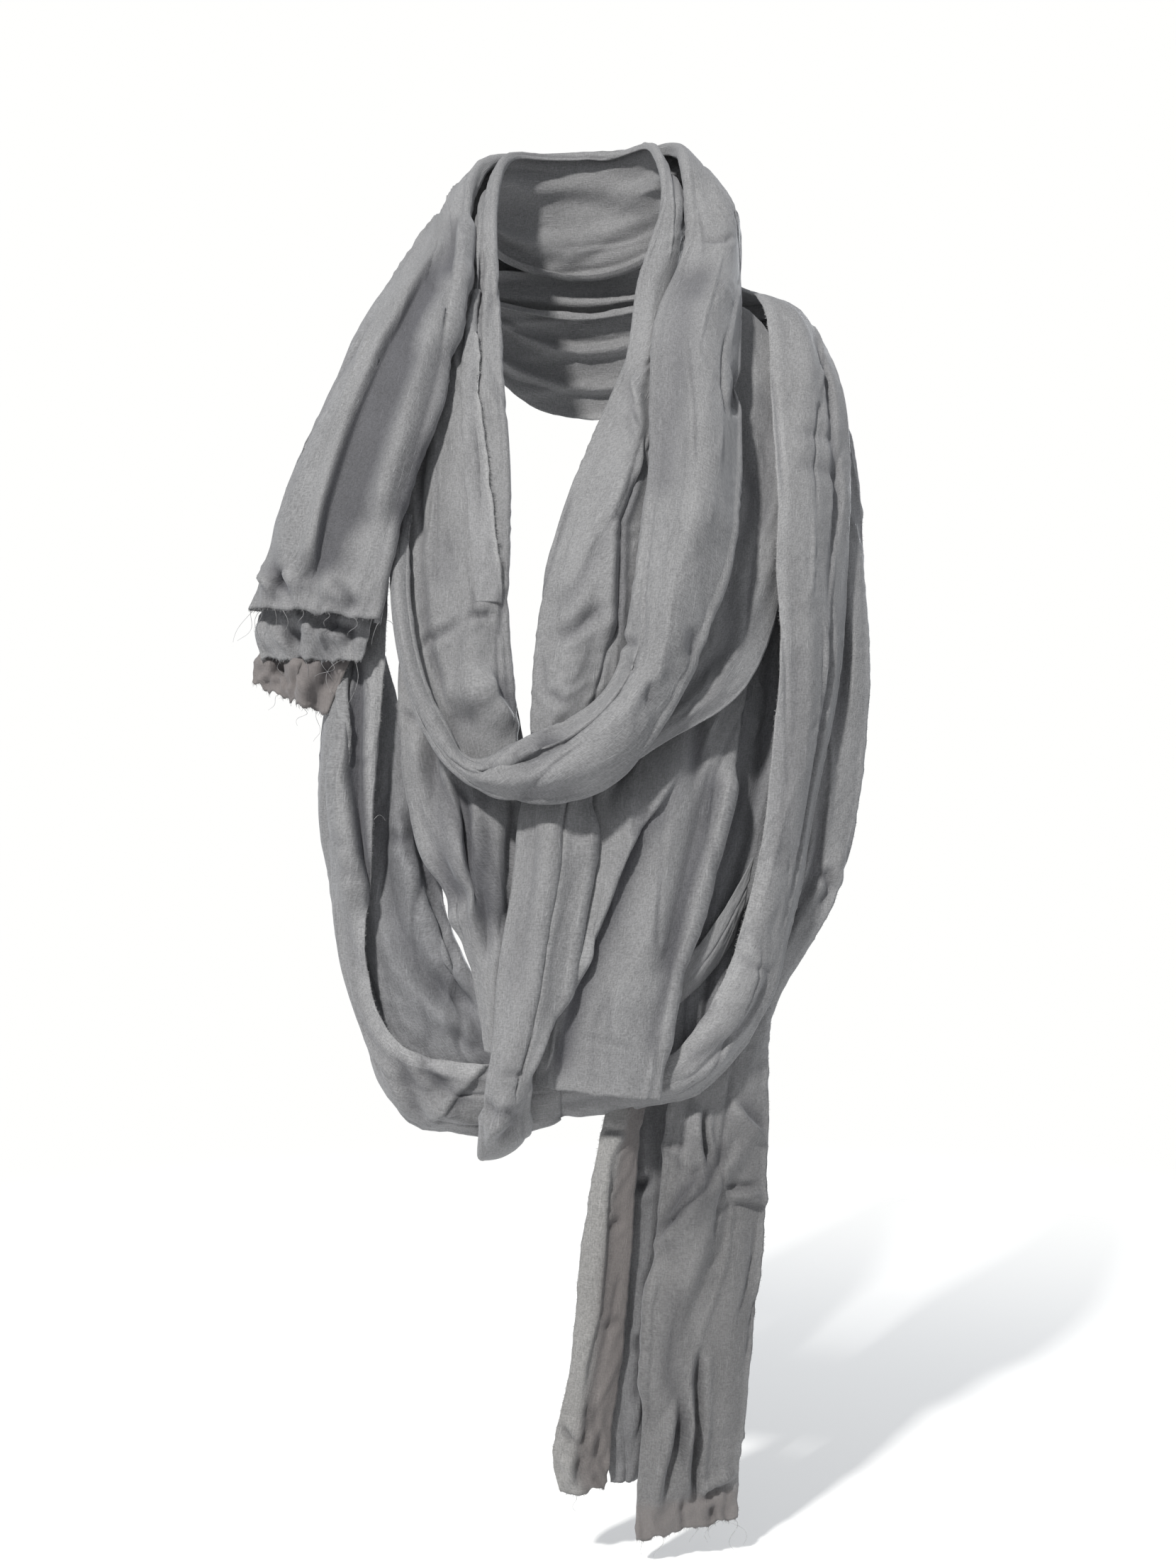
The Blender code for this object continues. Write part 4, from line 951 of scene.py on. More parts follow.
def unit(vectors):
    """The same directions with length one."""
    return vectors / np.maximum(np.linalg.norm(vectors, axis=-1, keepdims=True), TINY)


def smooth_step(value):
    """Nothing up to 0, one from 1 on, and an even S between them."""
    value = np.clip(value, 0.0, 1.0)
    return value * value * (3.0 - 2.0 * value)


def uneven(seed, side, along, short, long, count=14):
    """An uneven field, mostly within -2 to 2: a sum of sine waves with drawn lengths and phases.

    short is the range of wave lengths across the band, long the range along it.
    """
    draw = np.random.default_rng(seed)
    total = np.zeros(np.broadcast(side, along).shape)
    for _ in range(count):
        across = draw.uniform(*short) * draw.choice([-1.0, 1.0])
        length = draw.uniform(*long)
        phase = draw.uniform(0.0, 2.0 * np.pi)
        total += np.sin(2.0 * np.pi * (side / across + along / length) + phase)
    return total / math.sqrt(count / 2.0)


def patches(seed, side, along, waves, level):
    """Slow patches: 1 where an uneven field is high, 0 where it is low, and soft between them."""
    return smooth_step(level + 0.5 * uneven(seed, side, along, *waves))


def fold_height(folds, share, row, last_row, at, seed):
    """Sum of the folds: each is a rounded ridge or valley that runs along the band, with soft ends.

    Across the band it is a squared cosine. Its middle wanders and its height swells and sinks a
    little along the way, and each fold draws its own waves for that.
    """
    height = np.zeros(np.broadcast(share, row).shape)
    for number, (at_start, at_end, half, tall, first, last) in enumerate(folds):
        run = np.clip((row - first) / (last - first), 0.0, 1.0)
        fold_seed = seed + 31 * number
        drift = uneven(fold_seed, 0.0, at, ANY_LENGTH, WANDER_LENGTHS, FOLD_WAVES)
        swell = uneven(fold_seed + 7, 0.0, at, ANY_LENGTH, SWELL_LENGTHS, FOLD_WAVES)
        middle = at_start + (at_end - at_start) * run + FOLD_WANDER * half * drift
        spread = half * (1.0 + FOLD_SWELL * np.clip(swell, -2.0, 2.0))
        bump = np.cos(0.5 * np.pi * np.clip((share - middle) / spread, -1.0, 1.0)) ** 2
        fade_in = smooth_step(row - first) if first > 0 else 1.0
        fade_out = smooth_step(last - row) if last < last_row else 1.0
        height = height + tall * (1.0 + FOLD_RISE * drift) * bump * fade_in * fade_out
    return height


def line_distance(x, z, line):
    """Signed distance from a line of points, how far along it, its length and its way across.

    Positive is the viewer's right of a line that is drawn downwards. The way across is a unit vector.
    """
    points = np.asarray(line, float)
    nearest = np.full(x.shape, np.inf)
    signed = np.zeros(x.shape)
    along = np.zeros(x.shape)
    across = np.zeros(x.shape + (2,))
    done = 0.0
    for start, end in zip(points[:-1], points[1:]):
        step = end - start
        length = np.hypot(*step)
        step = step / length
        run = np.clip((x - start[0]) * step[0] + (z - start[1]) * step[1], 0.0, length)
        off_x = x - start[0] - run * step[0]
        off_z = z - start[1] - run * step[1]
        distance = np.hypot(off_x, off_z)
        closer = distance < nearest
        nearest = np.where(closer, distance, nearest)
        sign = np.where(step[0] * off_z - step[1] * off_x >= 0.0, 1.0, -1.0)
        signed = np.where(closer, sign * distance, signed)
        along = np.where(closer, done + run, along)
        across[closer] = (-step[1], step[0])
        done += length
    return signed, along, done, across


def crease_relief(points, creases):
    """Height, sideways shift and painted shade that the listed creases give each point.

    A ridge or a trough falls off evenly to both sides of its line, and a trough has low raised sides
    two widths out. An edge or a roll rises slowly to its line, drops past it over a short way and
    leans over that way, with painted shade under it. A trough gets painted shade in its middle.
    """
    x, y, z = points[..., 0], points[..., 1], points[..., 2]
    height = np.zeros(x.shape)
    shift = np.zeros(points.shape)
    painted_shade = np.zeros(x.shape)
    here = smooth_step((FRONT - y) / FRONT_SOFT)
    for kind, width, tall, *line in creases:
        signed, along, length, across = line_distance(x, z, line)
        end = min(CREASE_END, CREASE_END_SHARE * length)
        start = min(ROLL_START, ROLL_START_SHARE * length) if kind == "roll" else end
        soft = smooth_step(along / start) * smooth_step((length - along) / end) * here
        flip = 1.0 if width > 0 else -1.0
        d = signed * flip
        wide = abs(width)
        if kind in ("edge", "roll"):
            drop = max(LEAST_DROP, DROP_SHARES[kind] * tall)
            profile = np.where(d < 0.0, np.exp(-((d / wide) ** 2)), 1.0 - smooth_step(d / drop))
            lean = LEAN_SHARES[kind] * tall * profile * soft * flip
            shift[..., 0] += lean * across[..., 0]
            shift[..., 2] += lean * across[..., 1]
            height += tall * profile * soft
            reach = SHADE_REACH * tall + SHADE_MARGIN
            shade_under = smooth_step(d / drop) * np.exp(-(((d - drop) / reach) ** 2))
            painted_shade += soft * np.where(d > 0.0, shade_under, 0.0) * tall / EDGE_SHADE
        elif kind == "trough":
            sides = np.exp(-(((np.abs(d) - 2.0 * wide) / wide) ** 2))
            pit = np.exp(-((np.abs(d) / wide) ** CREASE_POWER))
            height += tall * soft * (TROUGH_SIDES * sides - pit)
            painted_shade += soft * np.exp(-((d / wide) ** 2)) * min(tall / TROUGH_SHADE, TROUGH_MOST_SHADE)
        else:
            height += tall * soft * np.exp(-((np.abs(d) / wide) ** CREASE_POWER))
    return height, shift, np.clip(painted_shade, 0.0, MOST_PAINTED_SHADE)


def across_places(path):
    """Places across a band: even on the flat, and round each rolled edge and its return."""
    count = int(path_width(path) / STEP_ACROSS) + 2
    share = list(np.linspace(0.0, 1.0, count))
    roll = [0.0] * count
    arc = [(k + 1) / ARC_POINTS for k in range(ARC_POINTS)]
    extra = arc + [1.0 + (k + 1) / RETURN_POINTS for k in range(RETURN_POINTS)]
    rolls = ROLLS.get(path, RAW)
    if rolls[0]:
        share = [0.0] * len(extra) + share
        roll = [-value for value in reversed(extra)] + roll
    if rolls[3]:
        share = share + [1.0] * len(extra)
        roll = roll + extra
    return np.array(share), np.array(roll)


def places_along(path, hidden_first, hidden_last):
    """Distances along the whole path, further apart between the two rows of its hidden stretch."""
    knots = path_knots(PATHS[path])
    fine = np.arange(0.0, knots[-1], 1.0)
    row = np.interp(fine, knots, np.arange(len(knots)))
    hidden = (row > hidden_first) & (row < hidden_last)
    density = np.where(hidden, 1.0 / STEP_HIDDEN, 1.0 / STEP_ALONG)
    reached = np.concatenate([[0.0], np.cumsum(density)])
    fine = np.append(fine, knots[-1])
    count = int(reached[-1]) + 1
    return np.interp(np.linspace(0.0, reached[-1], count), reached, fine)


def band_points(path, share, roll, at, seed):
    """Points of a band's middle surface, with the distance from the inner edge along the cloth.

    share runs across from the inner edge (0) to the outer edge (1). roll is 0 on the flat, and past
    an edge it runs to 1 round the rolled edge and to 2 along its return, below zero at the inner
    edge. at is the distance along the path. A point is the inner edge, plus its place across, plus
    its height at right angles to the band: the bow is a parabola, a rolled edge an arc that turns
    back under the band, and its return a straight line.
    """
    rows = np.asarray(PATHS[path], float)
    knots = path_knots(rows)
    inner = spline(rows[:, 0:3], knots, at)
    outer = spline(rows[:, 3:6], knots, at)
    bow = spline(rows[:, 6:7], knots, at)
    middle = (rows[:, 0:3] + rows[:, 3:6]) / 2.0
    ahead = spline(middle, knots, np.minimum(at + HALF_STEP, knots[-1]))
    behind = spline(middle, knots, np.maximum(at - HALF_STEP, 0.0))
    width = np.linalg.norm(outer - inner, axis=1, keepdims=True)
    across = (outer - inner) / width
    out = unit(np.cross(ahead - behind, across))
    inner_radius, inner_turn, inner_back, outer_radius, outer_turn, outer_back = ROLLS.get(path, RAW)
    inner_radius = np.minimum(inner_radius, EDGE_SHARE * width)
    outer_radius = np.minimum(outer_radius, EDGE_SHARE * width)
    place = share[None, :]
    row = np.interp(at, knots, np.arange(len(knots)))[:, None]
    side = inner_radius + place * (width - inner_radius - outer_radius)
    soft = np.clip(width / FULL_FOLD_WIDTH, 0.0, 1.0)
    height = bow * (1.0 - (2.0 * place - 1.0) ** 2)
    folds = fold_height(FOLDS.get(path, ()), place, row, len(knots) - 1, at[:, None], seed + FOLD_SEED)
    height = height + soft * folds
    # Painted shade in the valleys of the long folds.
    painted_shade = np.clip(-soft * folds / FOLD_SHADE, 0.0, 1.0)
    past = np.abs(roll)[None, :]
    outwards = np.sign(roll)[None, :]
    at_inner = roll[None, :] < 0.0
    radius = np.where(at_inner, inner_radius, outer_radius)
    limit = np.radians(np.where(at_inner, inner_turn, outer_turn))
    back = np.where(at_inner, inner_back, outer_back)
    back = back * np.clip(width / FULL_FOLD_WIDTH, LEAST_RETURN, 1.0)
    angle = limit * np.minimum(past, 1.0)
    rest = back * np.maximum(past - 1.0, 0.0)
    cloth_side = side + outwards * (radius * angle + rest)
    side = side + outwards * (radius * np.sin(angle) + rest * np.cos(angle))
    height = height - radius * (1.0 - np.cos(angle)) - rest * np.sin(angle)
    points = inner[:, None] + side[..., None] * across[:, None] + height[..., None] * out[:, None]
    return points, cloth_side, row, across, width, painted_shade


def grid_normals(points):
    """Which way the outer side of the cloth faces: across both directions of the grid."""
    return unit(np.cross(np.gradient(points, axis=0), np.gradient(points, axis=1)))


def ragged(points, side, at, across, width, path, seed):
    """Moves raw edges and cut hems in and out a little, unevenly, and less further in.

    Half of an uneven field that runs to about 2 is the distance that a table names.
    """
    along = at[:, None]
    here = np.zeros(side.shape)
    rolls = ROLLS.get(path, RAW)
    for radius, number, inwards in ((rolls[0], 1, side), (rolls[3], 2, width - side)):
        if radius == 0:
            sway = RAW_SWAY * uneven(seed + number, 0.0, along, ANY_LENGTH, RAW_LENGTHS)
            here += sway * np.exp(-inwards / RAW_REACH)
    moved = points + here[:, :, None] * across[:, None, :]
    first, last = RAW_HEMS.get(path, (0.0, 0.0))
    hem = first * uneven(seed + 5, side, 0.0, HEM_LENGTHS, ANY_LENGTH) * np.exp(-along / HEM_REACH)
    to_end = (along - along[-1]) / HEM_REACH
    hem -= last * uneven(seed + 6, side, 0.0, HEM_LENGTHS, ANY_LENGTH) * np.exp(to_end)
    return moved + 0.5 * hem[:, :, None] * unit(np.gradient(points, axis=0))


def wall_grid(points, normal):
    """Vertices and faces of a wall of even thickness round a grid of points, facing outwards."""
    front = points + normal * CLOTH / 2.0
    back = points - normal * CLOTH / 2.0
    rows, columns = points.shape[:2]
    total = rows * columns
    index = np.arange(total).reshape(rows, columns)
    corners = [index[:-1, :-1], index[1:, :-1], index[1:, 1:], index[:-1, 1:]]
    quad = np.stack(corners, axis=-1).reshape(-1, 4)
    rim = np.concatenate([index[0, :-1], index[:-1, -1], index[-1, :0:-1], index[:0:-1, 0]])
    following = np.roll(rim, -1)
    edge = np.stack([rim, following, following + total, rim + total], axis=-1)
    faces = np.concatenate([quad, quad[:, [0, 3, 2, 1]] + total, edge])
    vertices = np.concatenate([front.reshape(-1, 3), back.reshape(-1, 3)])
    return vertices, faces


def new_mesh(name, vertices, faces, material, cloth_place, attributes=()):
    """A mesh object at the origin from arrays in millimetres, with its place on the cloth as UV map."""
    mesh = bpy.data.meshes.new(name)
    sides = faces.shape[1]
    mesh.vertices.add(len(vertices))
    mesh.vertices.foreach_set("co", (vertices * MM).astype(np.float32).ravel())
    mesh.loops.add(faces.size)
    mesh.loops.foreach_set("vertex_index", faces.astype(np.int32).ravel())
    mesh.polygons.add(len(faces))
    mesh.polygons.foreach_set("loop_start", np.arange(0, faces.size, sides, dtype=np.int32))
    mesh.polygons.foreach_set("use_smooth", np.ones(len(faces), bool))
    mesh.update(calc_edges=True)
    layer = mesh.uv_layers.new(name="cloth")
    layer.uv.foreach_set("vector", (cloth_place[faces.ravel()] * MM).astype(np.float32).ravel())
    for label, values in attributes:
        mesh.attributes.new(label, "FLOAT", "POINT").data.foreach_set("value", values.astype(np.float32))
    mesh.materials.append(material)
    mesh.validate()
    piece = bpy.data.objects.new(name, mesh)
    bpy.context.scene.collection.objects.link(piece)
    return piece


def long_line(wave, half):
    """1 on the lines where a slow wave is nought, falling to 0 beside them, never narrower than the grid."""
    slope = np.hypot(*np.gradient(wave))
    aside = np.abs(wave) / np.maximum(half, LEAST_LINE * slope)
    return (1.0 - np.minimum(aside, 1.0)) ** LINE_POWER


def crumpled(path, side, along, length, seed):
    """Height of the crumpled cloth near a hem: flat tops with creases where a field is not nought."""
    if path not in CRUMPLED:
        return 0.0
    tall, first, last = CRUMPLED[path]
    near = np.exp(-((along / first) ** 2)) if first else 0.0
    near = np.maximum(near, np.exp(-(((length - along) / last) ** 2)) if last else 0.0)
    sharp = np.abs(uneven(seed + 8, side, along, *CRUMPLE_WAVES))
    return tall * near * (CRUMPLE_TOP - np.minimum(sharp, CRUMPLE_LIMIT))


def shell_points(path, hidden_first, hidden_last, seed, waves, wrinkles):
    """Grid of one shell: the band with its folds, then creases, long waves, small wrinkles and raw edges.

    All heights are added up and carried along the normal of the folded band. Long crests and
    crevices come and go in slow patches. Each field adds its own number to the shell's seed.
    """
    share, roll = across_places(path)
    at = places_along(path, hidden_first, hidden_last)
    points, side, row, across, width, painted_shade = band_points(path, share, roll, at, seed)
    along = np.broadcast_to(at[:, None], side.shape)
    points = ragged(points, side, at, across, width, path, seed)
    height, shift, crease_shade = crease_relief(points, CREASES.get(path, []))
    painted_shade = np.maximum(painted_shade, crease_shade)
    height += waves * LONG_SHARE * uneven(seed, side, along, *LONG_WAVES)
    patch = patches(seed + 3, side, along, WRINKLE_PATCHES, WRINKLE_LEVEL)
    folded = np.abs(uneven(seed + 4, side, along, *WRINKLE_WAVES))
    height += wrinkles * patch * (1.0 - np.minimum(folded, WRINKLE_LIMIT))
    crest = long_line(uneven(seed + 11, side, along, *LINE_WAVES), CREST_HALF)
    valley = long_line(uneven(seed + 12, side, along, *LINE_WAVES), VALLEY_HALF)
    comes = patches(seed + 13, side, along, LINE_PATCHES, LINE_LEVEL)
    goes = patches(seed + 14, side, along, LINE_PATCHES, LINE_LEVEL)
    height += CREST_TALL * waves * comes * crest
    pit = goes * valley
    height -= VALLEY_TALL * waves * pit
    # Painted shade along the long crevices.
    painted_shade = np.maximum(painted_shade, VALLEY_MOST_SHADE * pit)
    height += crumpled(path, side, along, at[-1], seed)
    points = points + grid_normals(points) * height[:, :, None] + shift
    return points, side, along, row, painted_shade


def edge_marks(path, side, along):
    """How far each point belongs to the pale selvedge, to the thin brownish end and to a single layer with
    painted shade.
    """
    width = side.max(axis=1, keepdims=True)
    past = along - along.max()
    selvedge = np.zeros(side.shape)
    inner, outer = SELVEDGES.get(path, (0.0, 0.0))
    if inner:
        selvedge = np.maximum(selvedge, np.exp(-((np.maximum(side, 0.0) / inner) ** SELVEDGE_POWER)))
    if outer:
        selvedge = np.maximum(selvedge, np.exp(-(((width - side) / outer) ** SELVEDGE_POWER)))
    sheer = np.zeros(side.shape)
    if path in SHEER_HEMS:
        reach, soft, most, start = SHEER_HEMS[path]
        sheer = most * smooth_step((past + reach) / soft)
        sheer = sheer * smooth_step((side / width - start) / SHEER_SIDE)
    single_layer_and_shade = np.zeros(side.shape)
    if path in SINGLE_LAYER_AND_SHADE:
        reach, soft, most = SINGLE_LAYER_AND_SHADE[path]
        single_layer_and_shade = most * smooth_step((past + reach) / soft)
    return selvedge, sheer, single_layer_and_shade


def raw_edge(points, row, edge, first, last):
    """Points of a raw edge from one row to another, which way is out of the cloth, and its face."""
    normal = grid_normals(points)
    if edge == "inner":
        line, behind, face = points[:, 0], points[:, 1], normal[:, 0]
    elif edge == "outer":
        line, behind, face = points[:, -1], points[:, -2], normal[:, -1]
    elif edge == "start":
        line, behind, face = points[0], points[1], normal[0]
    else:
        line, behind, face = points[-1], points[-2], normal[-1]
    if edge in ("inner", "outer"):
        kept = (row[:, 0] >= first) & (row[:, 0] <= last)
        line, behind, face = line[kept], behind[kept], face[kept]
    return line, unit(line - behind), face


def picked(values, distance, at):
    """Rows of values at distances along their line."""
    return np.stack([np.interp(at, distance, values[:, k]) for k in range(3)], axis=-1)


def thread_lines(line, out, face, at, length, curl, droop, bends, draw):
    """Middle lines of threads that start at shares of the length of an edge.

    Each step's direction is the way out of the cloth, turned by slow waves in two directions and
    drawn down a little more with each step. The points are the running sum of the steps.
    """
    distance = np.concatenate([[0.0], np.cumsum(np.linalg.norm(np.diff(line, axis=0), axis=1))])
    root = picked(line, distance, at * distance[-1])
    away = picked(out, distance, at * distance[-1])
    up = picked(face, distance, at * distance[-1])
    side = np.cross(away, up)
    count = len(at)
    curl = np.asarray(curl).reshape(-1, 1, 1)
    turn = np.linspace(0.0, 1.0, bends)[None, :, None]
    phase = draw.uniform(0.0, 2.0 * np.pi, (count, 1, 2))
    rate = draw.uniform(*SWAY_RATE, (count, 1, 2))
    sway = np.sin(phase + rate * turn) * curl
    lean = draw.uniform(-SIDE_LEAN, SIDE_LEAN, (count, 1, 1)) * np.minimum(1.0, curl)
    heading = away[:, None] + (lean + sway[..., :1]) * side[:, None] + UP_SWAY * sway[..., 1:] * up[:, None]
    heading = unit(heading + droop * turn * np.array([0.0, 0.0, -1.0]))
    step = np.asarray(length).reshape(-1, 1, 1) / (bends - 1)
    return root[:, None] + np.cumsum(heading * step, axis=1) - heading[:, :1] * step * ROOT_DEPTH


def tubes(centre, thick):
    """Three-sided tubes round middle lines, thinner to the tip, closed at both ends."""
    count, rings = centre.shape[:2]
    ahead = unit(np.gradient(centre, axis=1))
    first = unit(np.cross(ahead, np.array(OFF_AXIS)))
    second = np.cross(ahead, first)
    angle = 2.0 * np.pi * np.arange(TUBE_SIDES) / TUBE_SIDES
    ring = first[:, :, None] * np.cos(angle)[:, None] + second[:, :, None] * np.sin(angle)[:, None]
    radius = thick * np.linspace(1.0, TIP_SHARE, rings)[None, :, None, None]
    vertices = (centre[:, :, None] + ring * radius).reshape(-1, 3)
    index = np.arange(count * rings * TUBE_SIDES).reshape(count, rings, TUBE_SIDES)
    following = np.roll(index, -1, axis=2)
    a, b, c, d = index[:, :-1], following[:, :-1], following[:, 1:], index[:, 1:]
    walls = [np.stack(corners, -1).reshape(-1, 3) for corners in ([a, b, c], [a, c, d])]
    faces = np.concatenate([*walls, index[:, 0, ::-1], index[:, -1]])
    place = np.stack([vertices[:, 0], vertices[:, 2]], axis=-1)
    return vertices, faces, place


def build_fibres(path, points, row, seed):
    """Short fibres along the raw edges of a shell and its loose threads, joined in one mesh."""
    draw = np.random.default_rng(seed)
    groups = []
    for edge, first, last, dense, longest in FIBRE_EDGES[path]:
        line, out, face = raw_edge(points, row, edge, first, last)
        count = int(np.linalg.norm(np.diff(line, axis=0), axis=1).sum() * dense)
        at = np.sort(draw.uniform(0.0, 1.0, count))
        spread = draw.uniform(0.0, 1.0, count) ** FIBRE_SPREAD
        length = FIBRE_SHORTEST + (longest - FIBRE_SHORTEST) * spread
        curl = np.full(count, FIBRE_CURL)
        middle = thread_lines(line, out, face, at, length, curl, FIBRE_DROOP, FIBRE_POINTS, draw)
        groups.append(tubes(middle, FIBRE_RADIUS))
    for host, edge, share, length, curl in LOOSE_THREADS:
        if host == path:
            line, out, face = raw_edge(points, row, edge, 0, LAST_ROW)
            at = np.array([share])
            middle = thread_lines(line, out, face, at, length, curl, THREAD_DROOP, THREAD_POINTS, draw)
            groups.append(tubes(middle, THREAD_RADIUS))
    vertices = np.concatenate([group[0] for group in groups])
    starts = np.cumsum([0] + [len(group[0]) for group in groups[:-1]])
    faces = np.concatenate([group[1] + start for group, start in zip(groups, starts)])
    place = np.concatenate([group[2] for group in groups])
    piece = new_mesh(path + "_fibres", vertices, faces, MATERIALS["fibre"], place)
    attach(piece, "root")
    return piece


def build_cloth(name, points, side, along, marks, slot, nodes):
    """A finished shell from its grid of points: thin wall, place on the cloth, finish and node.

    Painted shade darkens the hollows on the outer face of the wall alone, because that face is the hollow
    one.
    """
    vertices, faces = wall_grid(points, grid_normals(points))
    place = np.stack([side.ravel(), along.ravel()], axis=-1)
    both = {label: np.tile(values.ravel(), 2) for label, values in zip(MARKS, marks)}
    both["painted_shade"][side.size:] = 0.0
    piece = new_mesh(name, vertices, faces, MATERIALS[slot], np.concatenate([place, place]), both.items())
    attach(piece, "root")
    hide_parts(*nodes)
    return piece


def build_selvedge_strip(points, row):
    """The strip that lies on the collar: the collar's own points between two lines, lifted off it.

    points and row are the collar's grid. Values between its points are mixed from the four that lie
    round them. The lift falls from the raw side to the flat side.
    """
    _, roll = across_places("collar")
    flat = np.flatnonzero(roll == 0.0)
    table = np.asarray(SELVEDGE_STRIP, float)
    rows = np.linspace(table[0, 0], table[-1, 0], STRIP_ROWS)
    first = np.interp(rows, table[:, 0], table[:, 1])
    last = np.interp(rows, table[:, 0], table[:, 2])
    place = first[:, None] + (last - first)[:, None] * np.linspace(0.0, 1.0, STRIP_COLUMNS)
    line = np.interp(rows, row[:, 0], np.arange(len(row)))[:, None] + 0.0 * place
    column = flat[0] + place * (len(flat) - 1)
    low_line = np.clip(np.floor(line).astype(int), 0, len(row) - 2)
    low_column = np.clip(np.floor(column).astype(int), 0, points.shape[1] - 2)
    part_line = (line - low_line)[..., None]
    part_column = (column - low_column)[..., None]

    def between(grid):
        above, below = (
            grid[rank, low_column] * (1 - part_column) + grid[rank, low_column + 1] * part_column
            for rank in (low_line, low_line + 1)
        )
        return above * (1.0 - part_line) + below * part_line

    rise = np.linspace(1.0, 0.0, STRIP_COLUMNS)[None, :] ** STRIP_CURVE
    soft = smooth_step(np.linspace(0.0, 1.0, STRIP_ROWS) / STRIP_SOFT)[:, None]
    lifted = STRIP_LOW + (STRIP_LIFT - STRIP_LOW) * rise * (STRIP_END + (1.0 - STRIP_END) * soft)
    strip = between(points) + between(grid_normals(points)) * lifted[..., None]
    side = np.linalg.norm(np.diff(strip, axis=1, prepend=strip[:, :1]), axis=2).cumsum(axis=1)
    along = np.linalg.norm(np.diff(strip, axis=0, prepend=strip[:1]), axis=2).cumsum(axis=0)
    wave_tall, wave_seed, wave_short, wave_long = STRIP_WAVES
    lift = wave_tall * uneven(wave_seed, side, along, wave_short, wave_long)
    sway_far, sway_seed, sway_long = STRIP_SWAY
    sway = sway_far * uneven(sway_seed, 0.0, along, ANY_LENGTH, sway_long)
    ends = np.abs(np.linspace(-1.0, 1.0, STRIP_COLUMNS))[None, :] ** STRIP_SHARP
    across = unit(np.gradient(strip, axis=1))
    strip = strip + grid_normals(strip) * lift[..., None] + (sway * ends)[..., None] * across
    nothing = np.zeros(side.shape)
    marks = (np.exp(-((side / STRIP_PALE) ** STRIP_SHARP)), nothing, nothing, nothing)
    name = "selvedge_strip_shell"
    piece = build_cloth(name, strip, side, along, marks, "raw_selvedge", ("selvedge_strip",))
    return piece, build_fibres("selvedge_strip", strip, rows[:, None], STRIP_FIBRE_SEED)


def link(tree, source, target):
    """Joins an output to an input."""
    tree.links.new(source, target)


def set_inputs(item, values):
    """Sets inputs of a node by name."""
    for label, value in values.items():
        item.inputs[label].default_value = value


def math_node(tree, operation, first, second=0.0):
    """One step of arithmetic between sockets or plain numbers."""
    item = tree.nodes.new("ShaderNodeMath")
    item.operation = operation
    for socket, value in zip(item.inputs, (first, second)):
        if isinstance(value, (int, float)):
            socket.default_value = value
        else:
            link(tree, value, socket)
    return item.outputs[0]


def summed(tree, parts):
    """Sum of several sockets, added up in their order."""
    total = parts[0]
    for part in parts[1:]:
        total = math_node(tree, "ADD", total, part)
    return total


def stretched_noise(tree, place, across, along, detail, rough, offset):
    """Noise on the cloth whose patches are about across by along metres."""
    mapping = tree.nodes.new("ShaderNodeMapping")
    set_inputs(mapping, {"Location": (offset, offset, offset), "Scale": (1.0 / across, 1.0 / along, 1.0)})
    link(tree, place, mapping.inputs["Vector"])
    noise = tree.nodes.new("ShaderNodeTexNoise")
    set_inputs(noise, {"Scale": 1.0, "Detail": detail, "Roughness": rough})
    link(tree, mapping.outputs[0], noise.inputs["Vector"])
    return noise.outputs["Fac"]


def ramp(tree, value, low, high, start=0.0, end=1.0):
    """Value carried from the range low to high onto start to end, with soft ends."""
    item = tree.nodes.new("ShaderNodeMapRange")
    item.interpolation_type = "SMOOTHSTEP"
    set_inputs(item, {"From Min": low, "From Max": high, "To Min": start, "To Max": end})
    link(tree, value, item.inputs["Value"])
    return item.outputs["Result"]


def mixed(tree, share, first, second, blend="MIX"):
    """Colour between two colours or colour sockets."""
    item = tree.nodes.new("ShaderNodeMix")
    item.data_type = "RGBA"
    item.blend_type = blend
    link(tree, share, item.inputs["Factor"])
    for socket, value in ((item.inputs[6], first), (item.inputs[7], second)):
        if isinstance(value, tuple):
            socket.default_value = (*value, 1.0)
        else:
            link(tree, value, socket)
    return item.outputs[2]


def varied(tree, share, colour, darkest, lightest):
    """A colour from its dark threads to its light ones, as shares of its brightness."""
    dark = tuple(c * darkest for c in colour)
    light = tuple(c * lightest for c in colour)
    return mixed(tree, share, dark, light)


def new_material(name):
    """An empty material, its node tree and its main shader."""
    material = bpy.data.materials.new(name)
    material.use_nodes = True
    return material, material.node_tree, material.node_tree.nodes["Principled BSDF"]


def place_on_cloth(tree):
    """The piece's own place on the cloth, across and along, in metres."""
    uv = tree.nodes.new("ShaderNodeUVMap")
    uv.uv_map = "cloth"
    return uv.outputs["UV"]


def carried_mark(tree, label):
    """How far a point of the cloth belongs to one of the marks."""
    mark = tree.nodes.new("ShaderNodeAttribute")
    mark.attribute_name = label
    return mark.outputs["Fac"]


